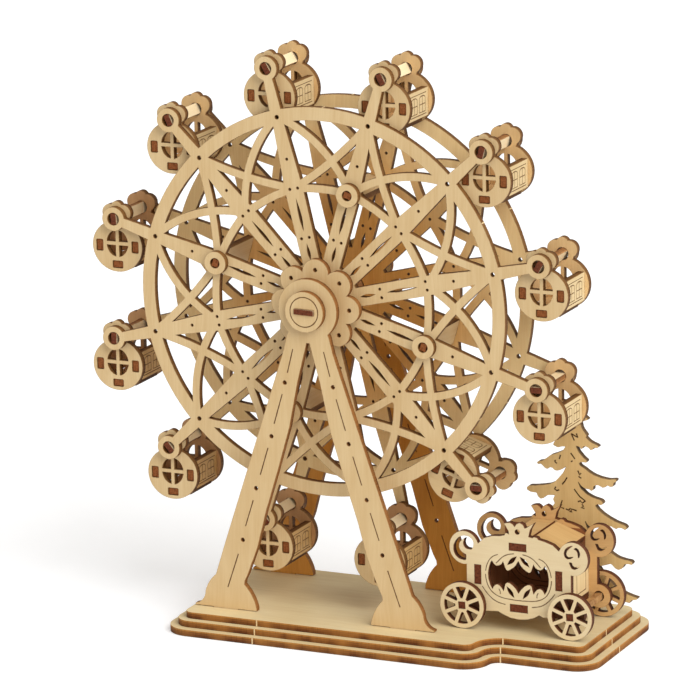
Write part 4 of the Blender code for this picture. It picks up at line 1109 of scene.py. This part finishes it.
def makeCoachWheels():
    c, t = coach, sheet["thickness"]
    outer, half = c["wheel"] - c["rim"], pi / c["spokes"]
    outerHalf, innerHalf = half - c["spoke"] / 2 / outer, half - c["spoke"] / 2 / c["hubRing"]
    windows = []
    for i in range(c["spokes"]):
        angle = 2 * pi * i / c["spokes"] + c["wheelTurn"]
        windows.append([atAngle(c["hubRing"], angle - innerHalf)]
                       + arcPoints(0, 0, outer, angle - outerHalf, angle + outerHalf, 6)
                       + [atAngle(c["hubRing"], angle + innerHalf)])
    square, seat = (turned(squarePoints(c[key]), c["wheelTurn"]) for key in ("axle", "seat"))
    paint = wood(ringPoints(0, 0, c["wheel"], 72)) + gap(*windows, seat)
    reach = c["wheelIn"] + t - c["axleShort"]
    parts = []
    # the far wheel's front face and the axle's sides take the area slot, here the painted-shade far coach
    # tone
    for front, look in ((-c["wheelIn"] - t, "face"), (c["wheelIn"], "area")):
        parts.append((sheetMesh("coachWheel", [ply(front, front + t, paint, frontLook=look)]), at()))
    bar = ply(-reach, reach, wood(square), frontLook="tab", backLook="tab", wallLook="area")
    mesh = joinedMesh("coachWheels", parts + [(sheetMesh("coachAxle", [bar]), at())])
    for word, side in (("Rear", -1), ("Front", 1)):
        key = "coach_" + word.lower() + "_wheelset"
        place = (c["x"] + side * c["halfBase"], 0, boardTop + c["axleZ"])
        addPiece("coach" + word + "Wheels", mesh, key, place, nodes=(key,), face="coach", cut="deepCut",
                 area="shadedFarCoach")


makeCoachSides()
makeCoachBody()
makeCoachWheels()
print("coach ready")


# pine tree

def treeOutline():
    right = [
        (1.6, 112.7), (3.0, 108.2), (4.8, 104.9), (7.2, 102.0), (9.4, 100.2), (7.0, 99.3), (5.0, 98.6),
        (5.8, 95.2), (8.6, 91.7), (7.8, 91.0), (9.7, 89.2), (11.7, 88.2), (13.8, 87.5), (14.9, 86.7),
        (14.1, 85.9), (12.2, 85.9), (11.4, 84.7), (10.3, 84.5), (9.6, 85.5), (7.8, 86.2), (6.6, 86.1),
        (6.2, 85.0), (5.2, 84.6), (4.6, 85.6), (2.5, 86.1), (3.8, 83.2), (6.2, 80.5), (8.5, 78.7),
        (8.1, 77.7), (6.6, 77.8), (5.0, 77.7), (4.2, 76.9), (4.8, 75.8), (7.2, 74.6), (9.1, 73.2),
        (12.2, 71.6), (15.9, 70.6), (20.0, 70.1), (23.3, 70.6), (24.3, 70.5), (24.1, 69.3), (22.9, 68.7),
        (22.5, 66.7), (21.1, 66.3), (19.4, 67.0), (18.3, 65.9), (16.8, 65.5), (15.9, 66.0), (14.5, 66.6),
        (13.0, 66.4), (11.8, 65.6), (11.7, 63.8), (10.7, 63.2), (9.6, 64.0), (7.2, 64.1), (5.2, 65.5),
        (3.4, 67.6), (4.8, 64.2), (8.2, 61.3), (11.7, 59.8), (15.9, 58.9), (17.1, 57.7), (16.7, 56.7),
        (15.4, 56.2), (14.2, 56.7), (12.8, 55.8), (14.2, 54.0), (16.7, 52.0), (20.0, 50.1), (24.1, 48.3),
        (28.6, 47.1), (29.9, 45.8), (29.0, 44.6), (27.0, 45.4), (25.3, 45.4), (24.1, 44.6), (22.4, 45.2),
        (21.2, 45.9), (19.9, 45.2), (18.3, 46.5), (18.6, 44.0), (17.4, 43.4), (16.0, 45.0), (14.2, 45.0),
        (12.4, 44.5), (10.8, 44.0), (8.8, 45.1), (7.2, 47.4), (8.2, 43.7), (11.7, 40.0), (15.0, 37.6),
        (18.7, 34.4), (21.6, 31.6), (24.9, 29.8), (29.0, 28.9), (31.9, 28.7), (33.0, 27.6), (32.3, 26.6),
        (30.7, 27.0), (28.6, 26.6), (27.4, 24.4), (25.4, 23.3), (23.7, 23.7), (21.2, 26.1), (18.3, 25.1),
        (15.5, 24.2), (13.6, 26.5), (14.6, 23.6), (16.8, 20.5), (20.0, 17.6), (22.4, 15.1), (25.1, 13.4),
        (29.0, 11.3), (33.1, 10.1), (35.5, 9.7), (35.1, 8.7), (32.0, 8.0), (31.2, 6.4), (28.2, 7.0),
        (26.1, 6.1), (23.3, 6.5), (20.0, 7.5), (15.9, 7.0), (10.0, 7.4), (5.0, 8.2), (3.2, 6.0)]
    left = [
        (-3.2, 6.0), (-5.0, 8.0), (-9.0, 7.0), (-16.6, 9.2), (-20.0, 7.4), (-28.3, 7.2), (-27.6, 9.4),
        (-22.0, 12.2), (-14.4, 18.6), (-10.0, 25.4), (-14.0, 22.4), (-17.6, 23.4), (-22.0, 22.6),
        (-28.3, 24.6), (-25.0, 27.0), (-19.8, 29.4), (-12.6, 35.4), (-8.0, 41.0), (-7.1, 43.7),
        (-9.1, 42.2), (-11.7, 42.0), (-13.8, 42.5), (-15.4, 44.0), (-18.7, 43.7), (-19.1, 45.0),
        (-17.0, 47.4), (-14.7, 49.7), (-12.1, 52.0), (-10.5, 53.2), (-9.2, 54.8), (-10.1, 56.9),
        (-9.1, 59.1), (-12.5, 58.8), (-14.2, 58.1), (-15.3, 56.9), (-17.0, 56.4), (-18.4, 57.6),
        (-19.1, 59.4), (-22.4, 59.5), (-24.3, 60.5), (-24.4, 61.8), (-23.2, 62.8), (-19.5, 63.2),
        (-15.4, 63.9), (-12.1, 64.6), (-9.2, 66.0), (-6.6, 68.8), (-4.4, 71.5), (-2.9, 74.8), (-4.5, 73.4),
        (-6.2, 72.5), (-7.8, 72.0), (-9.2, 72.2), (-10.5, 73.4), (-11.7, 73.4), (-12.9, 72.5),
        (-14.1, 72.6), (-15.2, 73.6), (-16.6, 74.8), (-18.2, 74.5), (-18.8, 75.3), (-17.9, 76.1),
        (-15.6, 76.6), (-13.8, 77.9), (-11.3, 79.9), (-8.0, 81.2), (-4.7, 82.8), (-3.1, 85.1), (-5.0, 85.0),
        (-7.4, 84.2), (-10.0, 85.4), (-9.0, 87.4), (-6.2, 90.0), (-3.6, 94.2), (-2.8, 97.2), (-6.6, 98.8),
        (-4.4, 101.2), (-2.2, 105.0), (-0.6, 109.0)]
    return cornerCut(inMm(right + left), 1, share=0.14)


def treeMarks():
    paths = [
        [(0.1, 92.1), (1.65, 88.75)], [(0.1, 92.1), (3.5, 90.5)], [(3.5, 90.5), (2.9, 92.4)],
        [(-5.9, 80.4), (-6.5, 78.3)], [(-9.2, 77.1), (-8.6, 77.5), (-8.9, 76.5), (-7.9, 75.9)],
        [(-0.3, 82.0), (0.9, 80.5), (1.9, 79.1)], [(-0.2, 77.5), (0.7, 78.0)],
        [(3.5, 73.1), (4.5, 70.9), (5.2, 72.0)], [(3.8, 70.1), (5.3, 69.4)],
        [(-2.4, 69.0), (-3.7, 66.8), (-5.1, 65.1)],
        [(-8.6, 63.5), (-9.2, 62.3), (-8.0, 61.6), (-6.7, 62.1)],
        [(1.5, 63.3), (2.7, 61.7), (4.5, 59.6), (7.4, 57.7)],
        [(3.5, 56.9), (4.8, 57.5), (5.8, 56.4), (7.5, 57.7)],
        [(5.6, 55.7), (6.5, 54.8), (5.3, 54.0), (6.9, 53.7)], [(-5.1, 56.7), (-6.4, 53.2), (-4.2, 52.5)],
        [(-3.1, 52.5), (-1.8, 51.9), (-0.6, 53.0)], [(-1.1, 51.4), (0.0, 51.1), (-0.2, 52.7), (2.7, 52.1)],
        [(-2.1, 45.0), (-2.9, 42.5)], [(-5.9, 46.8), (-6.8, 45.0), (-8.6, 44.2)],
        [(4.0, 34.0), (6.6, 30.6)], [(-4.0, 33.0), (-6.0, 30.0)], [(-2.0, 24.0), (1.6, 21.0), (1.0, 18.4)],
        [(6.0, 21.0), (9.0, 18.6)], [(-9.0, 16.0), (-12.0, 13.6)]]
    return [stripPoints(inMm(path), tree["mark"]) for path in paths]


def makeTree():
    half = tree["tab"] / 2
    tab = boxPoints(-half, half, -sheet["thickness"] + 2 * feet["play"], tree["tabTop"])
    mesh = sheetMesh("pineTree", engravedSheet(wood(treeOutline(), tab), treeMarks(), both=True))
    addPiece("pineTree", mesh, "stand", (tree["x"], tree["front"], boardTop), nodes=("pine_tree",),
             face="tree", cut="greyCut")


makeTree()
print("tree ready")


# surroundings: a white sweep, soft daylight and one large lamp from the right

view = {
    "turn": radians(24.85), "rise": radians(13.95), "roll": radians(-1.07), "aimY": -1.7 * mm,
    "pixel": 96 / 90 * mm, "away": 2223.6, "right": 6.27, "down": 25.71, "focal": 4702.8, "size": 700,
    "sensor": 36.0, "near": 0.05, "far": 100.0,
}


def makeFloor():
    mesh, size = bpy.data.meshes.new("floor"), 12.0
    mesh.from_pydata([(x, z, 0) for x, z in boxPoints(-size, size, -size, size)], [], [(0, 1, 2, 3)])
    material, shader, n = newMaterial("whiteSweep")
    seen = n.add("LightPath").outputs["Is Camera Ray"]
    fine = n.noise(n.add("TexCoord").outputs["Object"], 60.0)
    paper = n.mix(fine, (0.79, 0.81, 0.84, 1.0), (0.82, 0.84, 0.87, 1.0))
    n.feed(shader, {"Roughness": 0.9, "Specular IOR Level": 0.1, "Base Color": paper,
                    "Emission Color": (1.0, 1.0, 1.0, 1.0),
                    "Emission Strength": n.math("MULTIPLY", seen, 0.34)})
    mesh.materials.append(material)
    floor = bpy.data.objects.new("floor", mesh)
    bpy.context.scene.collection.objects.link(floor)
    floor.location.z = -0.2 * mm


def makeLight():
    world = bpy.data.worlds.new("daylight")
    world.use_nodes = True
    background = world.node_tree.nodes["Background"]
    background.inputs["Color"].default_value = (1.0, 0.95, 0.88, 1.0)
    background.inputs["Strength"].default_value = 0.55
    bpy.context.scene.world = world
    lamp = bpy.data.lights.new("key", "SUN")
    lamp.energy = 2.6
    lamp.angle = radians(50)
    key = bpy.data.objects.new("key", lamp)
    key.rotation_euler = Vector((0.71, -0.36, 0.60)).to_track_quat("Z", "Y").to_euler()
    bpy.context.scene.collection.objects.link(key)


def makeCamera():  # fitted to the photograph, with its distances in pixels at the hub
    v = view
    back = Vector((sin(v["turn"]) * cos(v["rise"]), -cos(v["turn"]) * cos(v["rise"]), sin(v["rise"])))
    right = Vector((cos(v["turn"]), sin(v["turn"]), 0.0))
    up = back.cross(right)
    aim = Vector((0.0, v["aimY"], hub["height"]))
    place = aim + v["pixel"] * (back * v["away"] + right * v["right"] - up * v["down"])
    lens = bpy.data.cameras.new("camera")
    lens.sensor_width = v["sensor"]
    lens.lens = v["sensor"] * v["focal"] / v["size"]
    lens.clip_start, lens.clip_end = v["near"], v["far"]
    camera = bpy.data.objects.new("camera", lens)
    bpy.context.scene.collection.objects.link(camera)
    frameTurn = Matrix((right, up, back)).transposed() @ Matrix.Rotation(v["roll"], 3, "Z")
    camera.matrix_world = Matrix.Translation(place) @ frameTurn.to_4x4()
    bpy.context.scene.camera = camera
    bpy.context.scene.view_settings.view_transform = "Standard"


makeFloor()
makeLight()
makeCamera()
print("surroundings ready")
